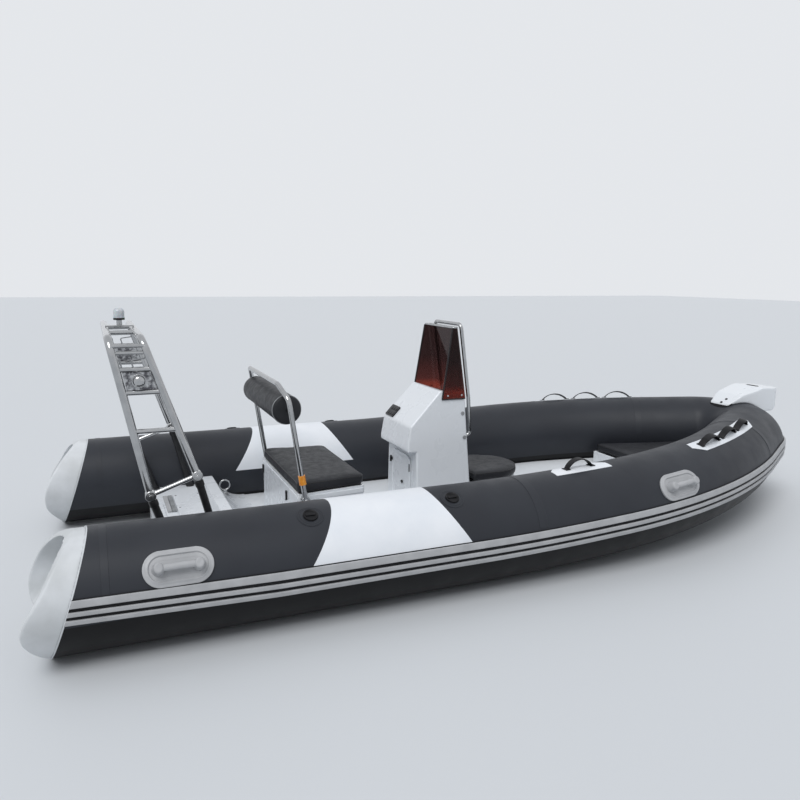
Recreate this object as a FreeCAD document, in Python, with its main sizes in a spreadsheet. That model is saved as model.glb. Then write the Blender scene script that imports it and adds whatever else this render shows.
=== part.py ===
import FreeCAD, Part
import Sketcher
import math
import os
import re

# Rigid inflatable boat with a console, a helm seat and a folding stern arch.
# Millimetres and degrees. +X runs to the bow, +Y to port and +Z up.
# Height 0 is the water, and x = 0 is the top of the seam where each tube's end cone begins.

SIZES = [
    # name, value, what it is
    ("tube_radius", 240, "radius of the air collar"),
    ("tube_spread", 825, "centreplane to the axis of either tube"),
    ("tube_height", 250, "water to the tube's axis along the straight stern part"),
    ("sheer_start", 1600, "where the tubes begin to rise"),
    ("sheer_angle", 3, "how steeply the tubes rise to the bow"),
    ("sheer_radius", 14000, "radius of the tube where it begins to rise"),
    ("bend_start", 2400, "where the tubes begin to turn in"),
    ("bend_radius", 2800, "radius of that turn at the tube's axis"),
    ("bend_angle", 31, "how far the tubes have turned before the nose"),
    ("nose_radius", 300, "radius of the collar's axis round the nose"),
    ("chamber_break", 1960, "where the stern chamber ends"),
    ("nose_break", 3780, "where the nose chamber begins"),
    ("fit", 0.3, "gap between pieces that seat on each other"),
    ("collar_start", -200, "where the collar's axis begins, inside the end cones"),
    ("seam_middle", -79, "where an end cone's seam crosses the tube's axis"),
    ("seam_lean", 18.2, "how far the seam leans forward at its top"),
    ("cone_wall", 28, "rim of the end cone"),
    ("hollow_middle", -172, "where the hollow's floor crosses the tube's axis"),
    ("hollow_lean", 33, "how far the hollow's floor leans forward at its top"),
    ("strake_base", 4, "thickness of the rub strake's base strip"),
    ("strake_low_angle", -14, "lower edge of the strake, as an angle on the tube"),
    ("strake_high_angle", 12, "upper edge of the strake, as an angle on the tube"),
    ("band_height", 8, "how far the strake's bands stand off the base strip"),
    ("wide_band_angle", 7.4, "height of the top band, as an angle on the tube"),
    ("middle_band_angle", 4.4, "height of the middle band, as an angle on the tube"),
    ("low_band_angle", 4.8, "height of the bottom band, as an angle on the tube"),
    ("band_gap_angle", 3.6, "gap between bands, as an angle on the tube"),
    ("panel_thick", 2, "thickness of the white saddle panels and patches"),
    ("panel_aft_top", 975, "aft edge of a saddle panel on top of the tube"),
    ("panel_aft_low", 805, "aft edge of a saddle panel at the tube's axis"),
    ("panel_fore_top", 1448, "fore edge of a saddle panel on top of the tube"),
    ("panel_fore_low", 1610, "fore edge of a saddle panel at the tube's axis"),
    ("panel_inner_angle", 173, "inner edge of a saddle panel, as an angle on the tube"),
    ("handle_aft", 316, "middle of the aft lifting handle"),
    ("handle_fore", 2804, "middle of the fore lifting handle"),
    ("handle_length", 265, "length of a lifting handle's base"),
    ("handle_half", 70, "half the height of a lifting handle's base"),
    ("handle_angle", 29.6, "place of a lifting handle on the tube"),
    ("handle_base", 10, "thickness of a lifting handle's base"),
    ("boss_radius", 20, "radius of the bosses at a grip's ends"),
    ("grip_length", 150, "length of a lifting handle's grip"),
    ("grip_radius", 11, "radius of a lifting handle's grip"),
    ("grip_stand", 26, "height of a grip's middle over the base"),
    ("valve_aft_gap", 92, "from a saddle panel's aft edge to the aft valve"),
    ("valve_fore_gap", 74, "from a saddle panel's fore edge to the fore valve"),
    ("valve_angle", 65, "place of a valve on the tube"),
    ("valve_radius", 32, "radius of a valve cap"),
    ("valve_height", 10, "how far a valve cap stands off the tube"),
    ("strap_middle", 2330, "middle of the single strap handle"),
    ("strap_patch", 340, "length of the single strap handle's patch"),
    ("strap_angle", 91, "place of the single strap handle on the tube"),
    ("bow_strap_aft", 3090, "aft end of the bow patch"),
    ("bow_strap_fore", 3850, "fore end of the bow patch"),
    ("bow_strap_angle", 74, "place of the bow patch on the tube"),
    ("patch_spread", 26, "width of the single handle's patch, as an angle on the tube"),
    ("bow_patch_spread", 23, "width of the bow patch, as an angle on the tube"),
    ("strap_thick", 5, "thickness of a strap handle"),
    ("strap_width", 34, "width of a strap handle"),
    ("strap_rise", 48, "height of a strap handle over its patch"),
    ("transom_x", 320, "aft face of the hull"),
    ("transom_thick", 48, "thickness of the transom board"),
    ("transom_half", 280, "half the width of the transom board"),
    ("deck_height", 110, "top of the cockpit deck"),
    ("deck_break", 2500, "where the deck begins to rise to the bow"),
    ("deck_thick", 25, "thickness of the deck"),
    ("chine_height", 20, "water to the chine"),
    ("keel_depth", 240, "water to the keel at the stern"),
    ("keel_break", 2400, "where the keel begins to rise"),
    ("stem_x", 4050, "fore end of the hull's top"),
    ("hull_gap", 1.5, "extra gap between the hull and the tubes"),
    ("stem_drop", 70, "height of the stem's end under the deck"),
    ("platform_top", 222, "top of the stern platform"),
    ("platform_fore", 589, "fore edge of the stern platform's flat top"),
    ("coaming_top", 262, "top of the coaming ahead of the platform"),
    ("coaming_aft", 622, "aft edge of the coaming's top"),
    ("coaming_fore", 682, "fore edge of the coaming's top"),
    ("ramp_break_x", 722, "where the ramp ahead of the coaming begins to hollow"),
    ("ramp_break_z", 192, "height of the ramp there"),
    ("ramp_middle_x", 768, "a place on the ramp's hollow"),
    ("ramp_middle_z", 147, "height of the ramp there"),
    ("ramp_toe_x", 880, "where the ramp ends on the deck"),
    ("ramp_toe", 4, "height of the ramp's end over the deck"),
    ("platform_wall", 22, "thickness of the stern platform"),
    ("arch_half", 560, "centreplane to the arch's legs"),
    ("arch_radius", 17, "radius of the arch's bars"),
    ("rung_radius", 11, "radius of the arch's rungs"),
    ("arch_top", 1200, "height of the arch's top bars"),
    ("arch_bend", 70, "radius of the arch's corners"),
    ("arch_aft_top", 122, "place of the aft bar at the top"),
    ("arch_fore_top", 252, "place of the fore bar at the top"),
    ("clamp_aft_x", 256, "place of the aft clamp, the arch's pivot"),
    ("clamp_aft_z", 520, "height of the aft clamp"),
    ("clamp_fore_x", 455, "place of the fore clamp"),
    ("clamp_fore_z", 590, "height of the fore clamp"),
    ("foot_aft_x", 352, "place of the aft stub's foot"),
    ("foot_fore_x", 548, "place of the fore stub's foot"),
    ("clamp_radius", 28, "radius of a clamp"),
    ("clamp_length", 44, "length of a clamp"),
    ("plate_low", 985, "lower edge of the arch's side plates"),
    ("plate_high", 1062, "upper edge of the arch's side plates"),
    ("rung_drop", 168, "from the side plates' lower rungs to the lowest rungs"),
    ("plate_thick", 6, "thickness of the arch's side plates"),
    ("knob_radius", 26, "radius of the knob on a side plate"),
    ("light_radius", 26, "radius of the stern light"),
    ("light_height", 58, "height of the stern light"),
    ("light_post", 30, "height of the stern light's bracket"),
    ("helm_aft", 955, "aft face of the helm seat"),
    ("helm_fore", 1322, "fore face of the helm seat"),
    ("helm_half_aft", 400, "half the helm seat's width at its aft face"),
    ("helm_half_fore", 356, "half the helm seat's width at its fore face"),
    ("helm_top", 396, "top of the helm seat's box"),
    ("helm_wall", 10, "wall of a seat's box"),
    ("cushion_thick", 62, "thickness of a seat's cushion with its lid"),
    ("cushion_over", 8, "how far a cushion stands over its box"),
    ("pivot_x", 985, "place of the backrest's pivot"),
    ("pivot_z", 372, "height of the backrest's pivot"),
    ("pivot_gap", 9, "from the seat box's side to the backrest's leg"),
    ("rest_radius", 13, "radius of the backrest's frame"),
    ("rest_bend_x", 908, "place of the bend in the backrest's leg"),
    ("rest_bend_z", 880, "height of the bend in the backrest's leg"),
    ("rest_top_x", 880, "place of the backrest's top bar"),
    ("rest_top_z", 945, "height of the backrest's top bar"),
    ("rest_bend", 45, "radius of the backrest frame's corners"),
    ("rest_pin", 9, "radius of the pins that carry the bolster"),
    ("pivot_radius", 22, "radius of the backrest's pivot eyes"),
    ("rest_top_half", 330, "half the width of the backrest's top bar"),
    ("bolster_radius", 78, "radius of the backrest's bolster"),
    ("bolster_half", 372, "half the length of the backrest's bolster"),
    ("bolster_z", 820, "height of the bolster's axis"),
    ("console_aft", 1685, "aft face of the console"),
    ("console_lip", 1632, "aft edge of the console's lip"),
    ("console_fore_low", 2035, "fore face of the console at the deck"),
    ("console_fore_top", 1990, "fore edge of the console's top"),
    ("console_half", 225, "half the console's width"),
    ("console_top_half", 190, "half the width of the console at the dash's upper edge"),
    ("lip_low", 500, "lower edge of the console's lip"),
    ("lip_high", 535, "upper edge of the console's lip"),
    ("dash_low", 645, "lower edge of the dash"),
    ("dash_high", 841, "upper edge of the dash"),
    ("dash_aft", 1650, "place of the dash's lower edge"),
    ("dash_fore", 1836, "place of the dash's upper edge"),
    ("console_top_fore", 790, "height of the console top's fore edge"),
    ("console_wall", 8, "wall of the console"),
    ("door_half", 122, "half the width of the console's door"),
    ("door_low", 190, "lower edge of the console's door"),
    ("door_high", 450, "upper edge of the console's door"),
    ("door_thick", 12, "thickness of the console's door"),
    ("door_over", 12, "how far the door laps over its opening"),
    ("panel_edge", 9, "from the dash's edges to the switch panel"),
    ("panel_half", 55, "half the width of the switch panel"),
    ("panel_long", 75, "rise of the switch panel up the dash"),
    ("panel_stand", 9, "how far the switch panel stands off the dash"),
    ("screen_low", 789, "lower edge of the windshield, outside the console"),
    ("screen_aft", 1843, "aft edge of the windshield at its foot"),
    ("screen_thick", 5, "thickness of the windshield"),
    ("screen_top", 1185, "top of the windshield"),
    ("screen_top_aft", 1905, "aft edge of the windshield's top"),
    ("screen_top_fore", 1942, "fore edge of the windshield's top"),
    ("screen_top_half", 185, "half the width of the windshield's top"),
    ("rail_radius", 11, "radius of the console's grab rail"),
    ("rail_bend", 28, "radius of the grab rail's corners"),
    ("rail_half", 165, "centreplane to the grab rail's legs"),
    ("rail_foot", 565, "height of the grab rail's feet"),
    ("rail_stand", 34, "from the console's face to the grab rail"),
    ("rail_top", 1205, "height of the grab rail's top"),
    ("rail_top_x", 1966, "place of the grab rail's top"),
    ("front_fore", 2440, "fore end of the front seat's cushion"),
    ("front_round", 200, "depth of the front seat's round end"),
    ("front_gap", 10, "from the console to the front seat's cushion"),
    ("front_half", 220, "half the width of the front seat"),
    ("front_top", 288, "top of the front seat's box"),
    ("front_inset", 22, "from the front seat's cushion to its box"),
    ("pad_low", 470, "lower edge of the front backrest pad"),
    ("pad_high", 735, "upper edge of the front backrest pad"),
    ("pad_half", 130, "half the width of the front backrest pad"),
    ("pad_thick", 45, "thickness of the front backrest pad"),
    ("bow_aft", 3340, "aft face of the bow locker"),
    ("bow_fore", 3900, "fore end of the bow locker"),
    ("bow_half_aft", 345, "half the bow locker's width at its aft face"),
    ("bow_half_fore", 88, "half the bow locker's width at its fore end"),
    ("bow_rise", 85, "height of the bow locker over the deck"),
    ("cap_aft", 4120, "aft end of the bow cap"),
    ("cap_fore", 4612, "fore end of the bow cap"),
    ("cap_half", 130, "half the width of the bow cap"),
    ("cap_low", 540, "lower edge of the bow cap"),
    ("cap_high", 712, "top of the bow cap"),
    ("eye_x", 742, "place of the eyes on the ramp"),
    ("eye_side", 500, "centreplane to the eyes"),
    ("ring_radius", 30, "radius of an eye at its bar's middle"),
    ("ring_bar", 5, "radius of an eye's bar"),
]

document = FreeCAD.newDocument("inflatable_boat")
sheet = document.addObject("Spreadsheet::Sheet", "Sizes")
for row, (alias, number, meaning) in enumerate(SIZES, start=1):
    sheet.set(f"A{row}", meaning)
    sheet.set(f"B{row}", str(number))
    sheet.setAlias(f"B{row}", alias)
document.recompute()
ALIASES = {alias for alias, number, meaning in SIZES}
V = FreeCAD.Vector
nodes = {}


# Helpers that read the sheet and bind sizes to it

def size(text):
    """The value now of a formula in the sheet's own names."""
    return float(sheet.evalExpression(text))


def formula(text):
    """The same formula as another object has to write it."""
    def full(word):
        name = word.group(0)
        return "Sizes." + name if name in ALIASES else name
    return re.sub(r"[a-z_]+", full, text)


def bind(target, **formulas):
    for name, text in formulas.items():
        target.setExpression(name, formula(text))


def seat(target, x="0", y="0", z="0"):
    """Binds where an object stands."""
    target.setExpression("Placement.Base.x", formula(x))
    target.setExpression("Placement.Base.y", formula(y))
    target.setExpression("Placement.Base.z", formula(z))


def keep(name, target):
    """Registers a finished sub-part under its node's name."""
    target.Label = name
    nodes[name] = target
    return target


def block(name, x, y, z):
    """A box between two formulas along each axis."""
    box = document.addObject("Part::Box", name)
    bind(box, Length=f"({x[1]}) - ({x[0]})", Width=f"({y[1]}) - ({y[0]})", Height=f"({z[1]}) - ({z[0]})")
    seat(box, x[0], y[0], z[0])
    return box


def cut(name, base, tool):
    result = document.addObject("Part::Cut", name)
    result.Base = base
    result.Tool = tool
    return result


def feature(name, shape):
    """A sub-part whose shape is worked out here from the sheet."""
    target = document.addObject("Part::Feature", name)
    target.Shape = shape
    target.Placement = FreeCAD.Placement()
    return target


def outline_body(name, plane, points, start, length):
    """A body padded from an outline whose corners are formulas on one of its own planes."""
    body = document.addObject("PartDesign::Body", name)
    sketch = body.newObject("Sketcher::SketchObject", name + "_outline")
    base = [item for item in body.Origin.OriginFeatures if item.Role == plane][0]
    sketch.AttachmentSupport = [(base, "")]
    sketch.MapMode = "FlatFace"
    sign = "-1 * " if plane == "XZ_Plane" else ""
    sketch.setExpression("AttachmentOffset.Base.z", formula(f"{sign}({start})"))
    corners = [V(size(a), size(b), 0) for a, b in points]
    for index, corner in enumerate(corners):
        following = corners[(index + 1) % len(corners)]
        sketch.addGeometry(Part.LineSegment(corner, following))
    for index in range(len(corners)):
        following = (index + 1) % len(corners)
        sketch.addConstraint(Sketcher.Constraint("Coincident", index, 2, following, 1))
    for index, (across, up) in enumerate(points):
        for kind, text in (("DistanceX", across), ("DistanceY", up)):
            number = sketch.addConstraint(Sketcher.Constraint(kind, -1, 1, index, 1, size(text)))
            sketch.setExpression(f"Constraints[{number}]", formula(text))
    pad = body.newObject("PartDesign::Pad", name + "_pad")
    pad.Profile = sketch
    bind(pad, Length=length)
    return body


# Helpers that make shapes

def bent_wire(points, bend):
    """Straight runs through the points, joined by tangent arcs of one radius."""
    points = [V(*point) for point in points]
    edges = []
    last = points[0]
    for before, corner, after in zip(points, points[1:], points[2:]):
        towards = (corner - before).normalize()
        away = (after - corner).normalize()
        turn = towards.getAngle(away)
        back = bend * math.tan(turn / 2)
        start = corner - towards * back
        end = corner + away * back
        inward = (away - towards).normalize()
        middle = corner + inward * (bend / math.cos(turn / 2) - bend)
        edges.append(Part.LineSegment(last, start).toShape())
        edges.append(Part.Arc(start, middle, end).toShape())
        last = end
    edges.append(Part.LineSegment(last, points[-1]).toShape())
    return Part.Wire(edges)


def swept_round(wire, radius):
    """A round bar along a wire."""
    first = wire.OrderedEdges[0]
    point = first.valueAt(first.FirstParameter)
    along = first.tangentAt(first.FirstParameter)
    disc = Part.Face(Part.Wire([Part.Circle(point, along, radius).toShape()]))
    return wire.makePipe(disc)


def bar(points, radius, bend=None):
    if bend is None:
        return swept_round(Part.Wire([Part.LineSegment(V(*points[0]), V(*points[1])).toShape()]), radius)
    return swept_round(bent_wire(points, bend), radius)


def joined(shapes):
    result = shapes[0].fuse(shapes[1:]) if len(shapes) > 1 else shapes[0]
    return result.removeSplitter()


def both_sides(shape):
    """A piece and its mirror image, as solids that don't touch."""
    return Part.makeCompound(shape.Solids + shape.mirror(V(0, 0, 0), V(0, 1, 0)).Solids)


# The collar's axis on the starboard side, from inside the end cone to the nose

def collar_edges():
    spread = size("tube_spread")
    height = size("tube_height")
    rise = math.radians(size("sheer_angle"))
    turn = math.radians(size("bend_angle"))
    large = size("sheer_radius")
    bend = size("bend_radius")
    nose = size("nose_radius")
    start = V(size("collar_start"), -spread, height)
    lift = V(size("sheer_start"), -spread, height)

    def risen(angle):
        return V(lift.x + large * math.sin(angle), -spread, height + large * (1 - math.cos(angle)))

    level = risen(rise)
    ahead = V(math.cos(rise), 0, math.sin(rise))
    inward = V(0, 1, 0)
    turning = level + ahead * ((size("bend_start") - level.x) / math.cos(rise))

    def bent(origin, radius, first, angle):
        run = radius * (math.sin(first + angle) - math.sin(first))
        aside = radius * (math.cos(first) - math.cos(first + angle))
        return origin + ahead * run + inward * aside

    turned = bent(turning, bend, 0, turn)
    straight = (-turned.y - nose * math.cos(turn)) / math.sin(turn)
    heading = ahead * math.cos(turn) + inward * math.sin(turn)
    rounding = turned + heading * straight
    rest = math.pi / 2 - turn
    tip = bent(rounding, nose, turn, rest)
    return [
        Part.LineSegment(start, lift).toShape(),
        Part.Arc(lift, risen(rise / 2), level).toShape(),
        Part.LineSegment(level, turning).toShape(),
        Part.Arc(turning, bent(turning, bend, 0, turn / 2), turned).toShape(),
        Part.LineSegment(turned, rounding).toShape(),
        Part.Arc(rounding, bent(rounding, nose, turn, rest / 2), tip).toShape(),
    ]


COLLAR = collar_edges()
NOSE_TIP = COLLAR[-1].valueAt(COLLAR[-1].LastParameter)


def collar_parameter(edge, x):
    """Where an edge of the axis passes a given x."""
    low, high = edge.FirstParameter, edge.LastParameter
    for step in range(60):
        middle = (low + high) / 2
        if edge.valueAt(middle).x < x:
            low = middle
        else:
            high = middle
    return (low + high) / 2


def collar_at(x):
    """The axis point at x, and the directions along, outwards and up from it."""
    for edge in COLLAR:
        if edge.valueAt(edge.LastParameter).x >= x:
            break
    parameter = collar_parameter(edge, x)
    along = edge.tangentAt(parameter)
    outward = along.cross(V(0, 0, 1)).normalize()
    return edge.valueAt(parameter), along, outward, outward.cross(along).normalize()


def collar_wire(x_from, x_to):
    """The stretch of the starboard axis between two values of x."""
    edges = []
    for edge in COLLAR:
        first = edge.valueAt(edge.FirstParameter).x
        last = edge.valueAt(edge.LastParameter).x
        if last <= x_from + 1e-6 or first >= x_to - 1e-6:
            continue
        low = collar_parameter(edge, x_from) if x_from > first else edge.FirstParameter
        high = collar_parameter(edge, x_to) if x_to < last else edge.LastParameter
        edges.append(edge.Curve.toShape(low, high))
    return Part.Wire(edges)


def sector(x_from, x_to, angle_from, angle_to, inner, outer):
    """A strip bent round the starboard tube: angles count up from its outer side."""
    centre, along, outward, up = collar_at(x_from)

    def at(radius, angle):
        angle = math.radians(angle)
        return centre + outward * (radius * math.cos(angle)) + up * (radius * math.sin(angle))

    middle = (angle_from + angle_to) / 2
    section = Part.Wire([
        Part.Arc(at(outer, angle_from), at(outer, middle), at(outer, angle_to)).toShape(),
        Part.LineSegment(at(outer, angle_to), at(inner, angle_to)).toShape(),
        Part.Arc(at(inner, angle_to), at(inner, middle), at(inner, angle_from)).toShape(),
        Part.LineSegment(at(inner, angle_from), at(outer, angle_from)).toShape(),
    ])
    return collar_wire(x_from, x_to).makePipe(Part.Face(section))


# The air collar: two stern chambers, two forward chambers and the nose chamber

TUBE = size("tube_radius")
SKIN = size("tube_radius + fit")
START = size("collar_start")
NOSE_X = NOSE_TIP.x


def chamber(x_from, x_to):
    return swept_round(collar_wire(x_from, x_to), TUBE)


def mirrored(shape):
    return shape.mirror(V(0, 0, 0), V(0, 1, 0))


def behind(x, lean):
    """A block that fills everything aft of a plane through the tubes' axes at x."""
    wide = 4 * size("tube_spread")
    filled = Part.makeBox(wide, wide, wide, V(-wide, -wide / 2, -wide / 2))
    filled.Placement = FreeCAD.Placement(V(x, 0, size("tube_height")), FreeCAD.Rotation(V(0, 1, 0), lean))
    return filled


BEHIND_SEAM = behind(size("seam_middle"), size("seam_lean"))
stern_chamber = chamber(START, size("chamber_break")).cut(BEHIND_SEAM)
forward_chamber = chamber(size("chamber_break"), size("nose_break"))
nose_half = chamber(size("nose_break"), NOSE_X)
nose_chamber = joined([nose_half, mirrored(nose_half)])
keep("collar_stern_starboard", feature("collar_stern_starboard", stern_chamber))
keep("collar_stern_port", feature("collar_stern_port", mirrored(stern_chamber)))
keep("collar_forward_starboard", feature("collar_forward_starboard", forward_chamber))
keep("collar_forward_port", feature("collar_forward_port", mirrored(forward_chamber)))
keep("collar_nose", feature("collar_nose", nose_chamber))


# The end cones: each is the tube's end, rounded down aft and hollowed at a slant

# x and z of the cone's outline from the side: three points for each arc, shared where they meet
CONE_SIDE = [(-45, 490), (-100, 455), (-145, 411), (-190, 347), (-222, 275), (-236, 215), (-230, 155),
             (-211, 118), (-162, 50)]


def end_cone():
    spread = size("tube_spread")
    axis = V(2 * START, -spread, size("tube_height"))
    places = [V(x, 0, z) for x, z in CONE_SIDE]
    edges = [Part.Arc(*places[first:first + 3]).toShape() for first in range(0, len(places) - 1, 2)]
    ahead = [
        places[-1],
        V(places[-1].x, 0, -TUBE),
        V(TUBE, 0, -TUBE),
        V(TUBE, 0, 3 * TUBE),
        V(places[0].x, 0, 3 * TUBE),
        places[0],
    ]
    edges += Part.makePolygon(ahead).Edges
    side_view = Part.Face(Part.Wire(edges)).extrude(V(0, -2 * spread, 0))
    whole = Part.makeCylinder(TUBE, -3 * START, axis, V(1, 0, 0))
    shell = whole.common(BEHIND_SEAM).common(side_view)
    inside = Part.makeCylinder(TUBE - size("cone_wall"), -3 * START, axis, V(1, 0, 0))
    return shell.cut(inside.common(behind(size("hollow_middle"), size("hollow_lean"))))


CONE = end_cone()
keep("end_cone_starboard", feature("end_cone_starboard", CONE))
keep("end_cone_port", feature("end_cone_port", mirrored(CONE)))


# The rub strake: one base strip round the whole collar, with three bands on it

def whole_round(angle_from, angle_to, inner, outer):
    half = sector(START, NOSE_X, angle_from, angle_to, inner, outer).cut(BEHIND_SEAM)
    return joined([half, mirrored(half)])


BASE_OUTER = TUBE + size("strake_base")
keep("rub_strake_base", feature("rub_strake_base", whole_round(
    size("strake_low_angle"), size("strake_high_angle"), SKIN, BASE_OUTER)))


def strake_bands():
    top = size("strake_high_angle - 1")
    bands = []
    for band in ("wide_band_angle", "middle_band_angle", "low_band_angle"):
        bottom = top - size(band)
        bands.append(whole_round(bottom, top, BASE_OUTER, BASE_OUTER + size("band_height")))
        top = bottom - size("band_gap_angle")
    return Part.makeCompound([solid for item in bands for solid in item.Solids])


keep("rub_strake_bands", feature("rub_strake_bands", strake_bands()))


# The white saddle panels over the tubes beside the helm

def panel_edge(end, rise):
    """Where a saddle panel's aft or fore edge passes at a height over the tube's axis."""
    low = size(f"panel_{end}_low")
    return low + (size(f"panel_{end}_top") - low) / TUBE * rise


def saddle_panel():
    start = size("panel_aft_low") - 1
    end = size("panel_fore_low") + 1
    low_angle = size("strake_high_angle") + math.degrees(size("fit") / TUBE)
    ring = sector(start, end, low_angle, size("panel_inner_angle"), SKIN, TUBE + size("panel_thick"))
    low = size("tube_height")
    rise = TUBE + 2 * size("panel_thick")
    corners = [
        V(panel_edge("aft", 0), 0, low),
        V(panel_edge("aft", rise), 0, low + rise),
        V(panel_edge("fore", rise), 0, low + rise),
        V(panel_edge("fore", 0), 0, low),
    ]
    side_view = Part.Face(Part.makePolygon(corners + corners[:1]))
    prism = side_view.extrude(V(0, -2 * size("tube_spread"), 0))
    return ring.common(prism)


SADDLE = saddle_panel()
keep("saddle_panel_starboard", feature("saddle_panel_starboard", SADDLE))
keep("saddle_panel_port", feature("saddle_panel_port", mirrored(SADDLE)))


# Lifting handles: a moulded base on the tube with a bar grip

def on_tube(x, angle, lift):
    """A point over the starboard tube, with the directions along, round and off it."""
    centre, along, outward, up = collar_at(x)
    turn = math.radians(angle)
    off = outward * math.cos(turn) + up * math.sin(turn)
    return centre + off * (TUBE + lift), along, along.cross(off).normalize(), off


def round_ended_plate(middle, along, across, length, half):
    """A face with straight long sides and half round ends."""
    reach = along * (length / 2 - half)
    tip = along * (length / 2)
    side = across * half
    return Part.Face(Part.Wire([
        Part.LineSegment(middle - reach - side, middle + reach - side).toShape(),
        Part.Arc(middle + reach - side, middle + tip, middle + reach + side).toShape(),
        Part.LineSegment(middle + reach + side, middle - reach + side).toShape(),
        Part.Arc(middle - reach + side, middle - tip, middle - reach - side).toShape(),
    ]))


HANDLE_SPREAD = 40
SINK = 3


def lifting_handle(x):
    half = size("handle_length") / 2
    low = size("handle_angle") - HANDLE_SPREAD / 2
    high = size("handle_angle") + HANDLE_SPREAD / 2
    middle, along, across, off = on_tube(x, size("handle_angle"), size("handle_base"))
    outline = round_ended_plate(middle - off * TUBE / 2, along, across, 2 * half, size("handle_half"))
    base = sector(x - half - SINK, x + half + SINK, low, high, SKIN, TUBE + size("handle_base"))
    base = base.common(outline.extrude(off * TUBE))
    reach = along * (size("grip_length") / 2)
    stand = off * size("grip_stand")
    parts = [base, bar([tuple(middle - reach + stand), tuple(middle + reach + stand)], size("grip_radius"))]
    for end in (middle - reach, middle + reach):
        parts.append(Part.makeCylinder(size("boss_radius"), size("grip_stand + grip_radius") + 2 * SINK,
                                       end - off * SINK, off))
    return joined(parts)


HANDLES = [lifting_handle(size("handle_aft")), lifting_handle(size("handle_fore"))]
keep("lifting_handles", feature("lifting_handles", both_sides(Part.makeCompound(HANDLES))))


# Air valves

def valve(x):
    point, along, round_, off = on_tube(x, size("valve_angle"), -4)
    disc = Part.makeCylinder(size("valve_radius"), size("valve_height") + 4, point, off)
    tube = swept_round(collar_wire(x - 2 * size("valve_radius"), x + 2 * size("valve_radius")), SKIN)
    return disc.cut(tube)


VALVE_RISE = TUBE * math.sin(math.radians(size("valve_angle")))
VALVES = [
    valve(panel_edge("aft", VALVE_RISE) - size("valve_aft_gap")),
    valve(panel_edge("fore", VALVE_RISE) + size("valve_fore_gap")),
]
keep("air_valves", feature("air_valves", both_sides(Part.makeCompound(VALVES))))


# Strap handles on white patches, one amidships and three loops at the bow on each side

def patch(x_from, x_to, angle, spread):
    half = size(spread) / 2
    return sector(x_from, x_to, angle - half, angle + half, SKIN, TUBE + size("panel_thick"))


def strap_loop(x_from, x_to, angle):
    """A low arch of webbing that stands on its patch at both ends."""
    lift = size("panel_thick + fit")
    start, along, round_, off = on_tube(x_from, angle, lift)
    end, along, round_, off_end = on_tube(x_to, angle, lift)
    up = (off + off_end).normalize()
    reach = (end - start).normalize()
    across = reach.cross(up).normalize()
    thick = size("strap_thick")
    top = (start + end) / 2 + up * size("strap_rise")
    outer = Part.Arc(start, top, end).toShape()
    inner = Part.Arc(end - reach * thick, top - up * thick, start + reach * thick).toShape()
    foot = Part.LineSegment(end, end - reach * thick).toShape()
    toe = Part.LineSegment(start + reach * thick, start).toShape()
    face = Part.Face(Part.Wire([outer, foot, inner, toe]))
    width = size("strap_width")
    face.translate(across * (-width / 2))
    return face.extrude(across * width)


STRAP_REACH = size("strap_patch") / 4
STRAP_X = size("strap_middle")
BOW_LOOPS = 3
BOW_MARGIN = 60
LOOP_GAP = 30


def straps():
    loops = [strap_loop(STRAP_X - STRAP_REACH, STRAP_X + STRAP_REACH, size("strap_angle"))]
    start = size("bow_strap_aft") + BOW_MARGIN
    pitch = (size("bow_strap_fore") - BOW_MARGIN - start) / BOW_LOOPS
    for index in range(BOW_LOOPS):
        low = start + index * pitch + LOOP_GAP / 2
        loops.append(strap_loop(low, low + pitch - LOOP_GAP, size("bow_strap_angle")))
    return both_sides(Part.makeCompound(loops))


def strap_patches():
    half = size("strap_patch") / 2
    pair = [
        patch(STRAP_X - half, STRAP_X + half, size("strap_angle"), "patch_spread"),
        patch(size("bow_strap_aft"), size("bow_strap_fore"), size("bow_strap_angle"), "bow_patch_spread"),
    ]
    return both_sides(Part.makeCompound(pair))


keep("strap_handles", feature("strap_handles", straps()))
keep("strap_patches", feature("strap_patches", strap_patches()))


# The hull, a closed vee under the deck, and the deck on it

RISE = math.tan(math.radians(size("sheer_angle")))


def deck_rise(x):
    return max(0, x - size("deck_break")) * RISE


def tube_side(x, z):
    """Half the free width between the tubes at a place and height, less the seating gap."""
    centre, along, outward, up = collar_at(x)
    depth = centre.z - z
    reach = math.sqrt(SKIN ** 2 - depth ** 2)
    return -centre.y - reach / abs(outward.y)


def hull_half(x, z):
    """The stern's free width, or less where the tubes close in to the bow."""
    return min(tube_side(x, z), tube_side(size("transom_x"), z - deck_rise(x))) - size("hull_gap")


KEEL_SWEEP = 0.96
KEEL_FLAT = 12


def keel_at(x):
    """The keel is level to its break, then rises on one arc to the stem's end."""
    start = size("keel_break")
    end = size("stem_x")
    low = -size("keel_depth")
    high = size("deck_height - deck_thick - stem_drop") + deck_rise(end)
    share = min(1, max(0, x - start) / (end - start))
    rise = 1 - math.sqrt(1 - KEEL_SWEEP * share ** 2)
    return low + (high - low) * rise / (1 - math.sqrt(1 - KEEL_SWEEP))


HULL_STATIONS = [size("transom_x"), size("keel_break"), size("deck_break")]
FORE_STATIONS = 6
for step in range(1, FORE_STATIONS + 1):
    HULL_STATIONS.append(size(f"deck_break + (stem_x - deck_break) * {step} / {FORE_STATIONS}"))
HULL_STATIONS.sort()


def hull():
    sections = []
    for x in HULL_STATIONS:
        top = size("deck_height - deck_thick") + deck_rise(x)
        half = hull_half(x, top)
        keel = keel_at(x)
        chine = max(size("chine_height") + deck_rise(x), keel + KEEL_FLAT)
        corners = [V(x, 0, keel), V(x, half, chine), V(x, half, top), V(x, -half, top), V(x, -half, chine)]
        sections.append(Part.makePolygon(corners + corners[:1]))
    return Part.makeLoft(sections, True, True)


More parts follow.
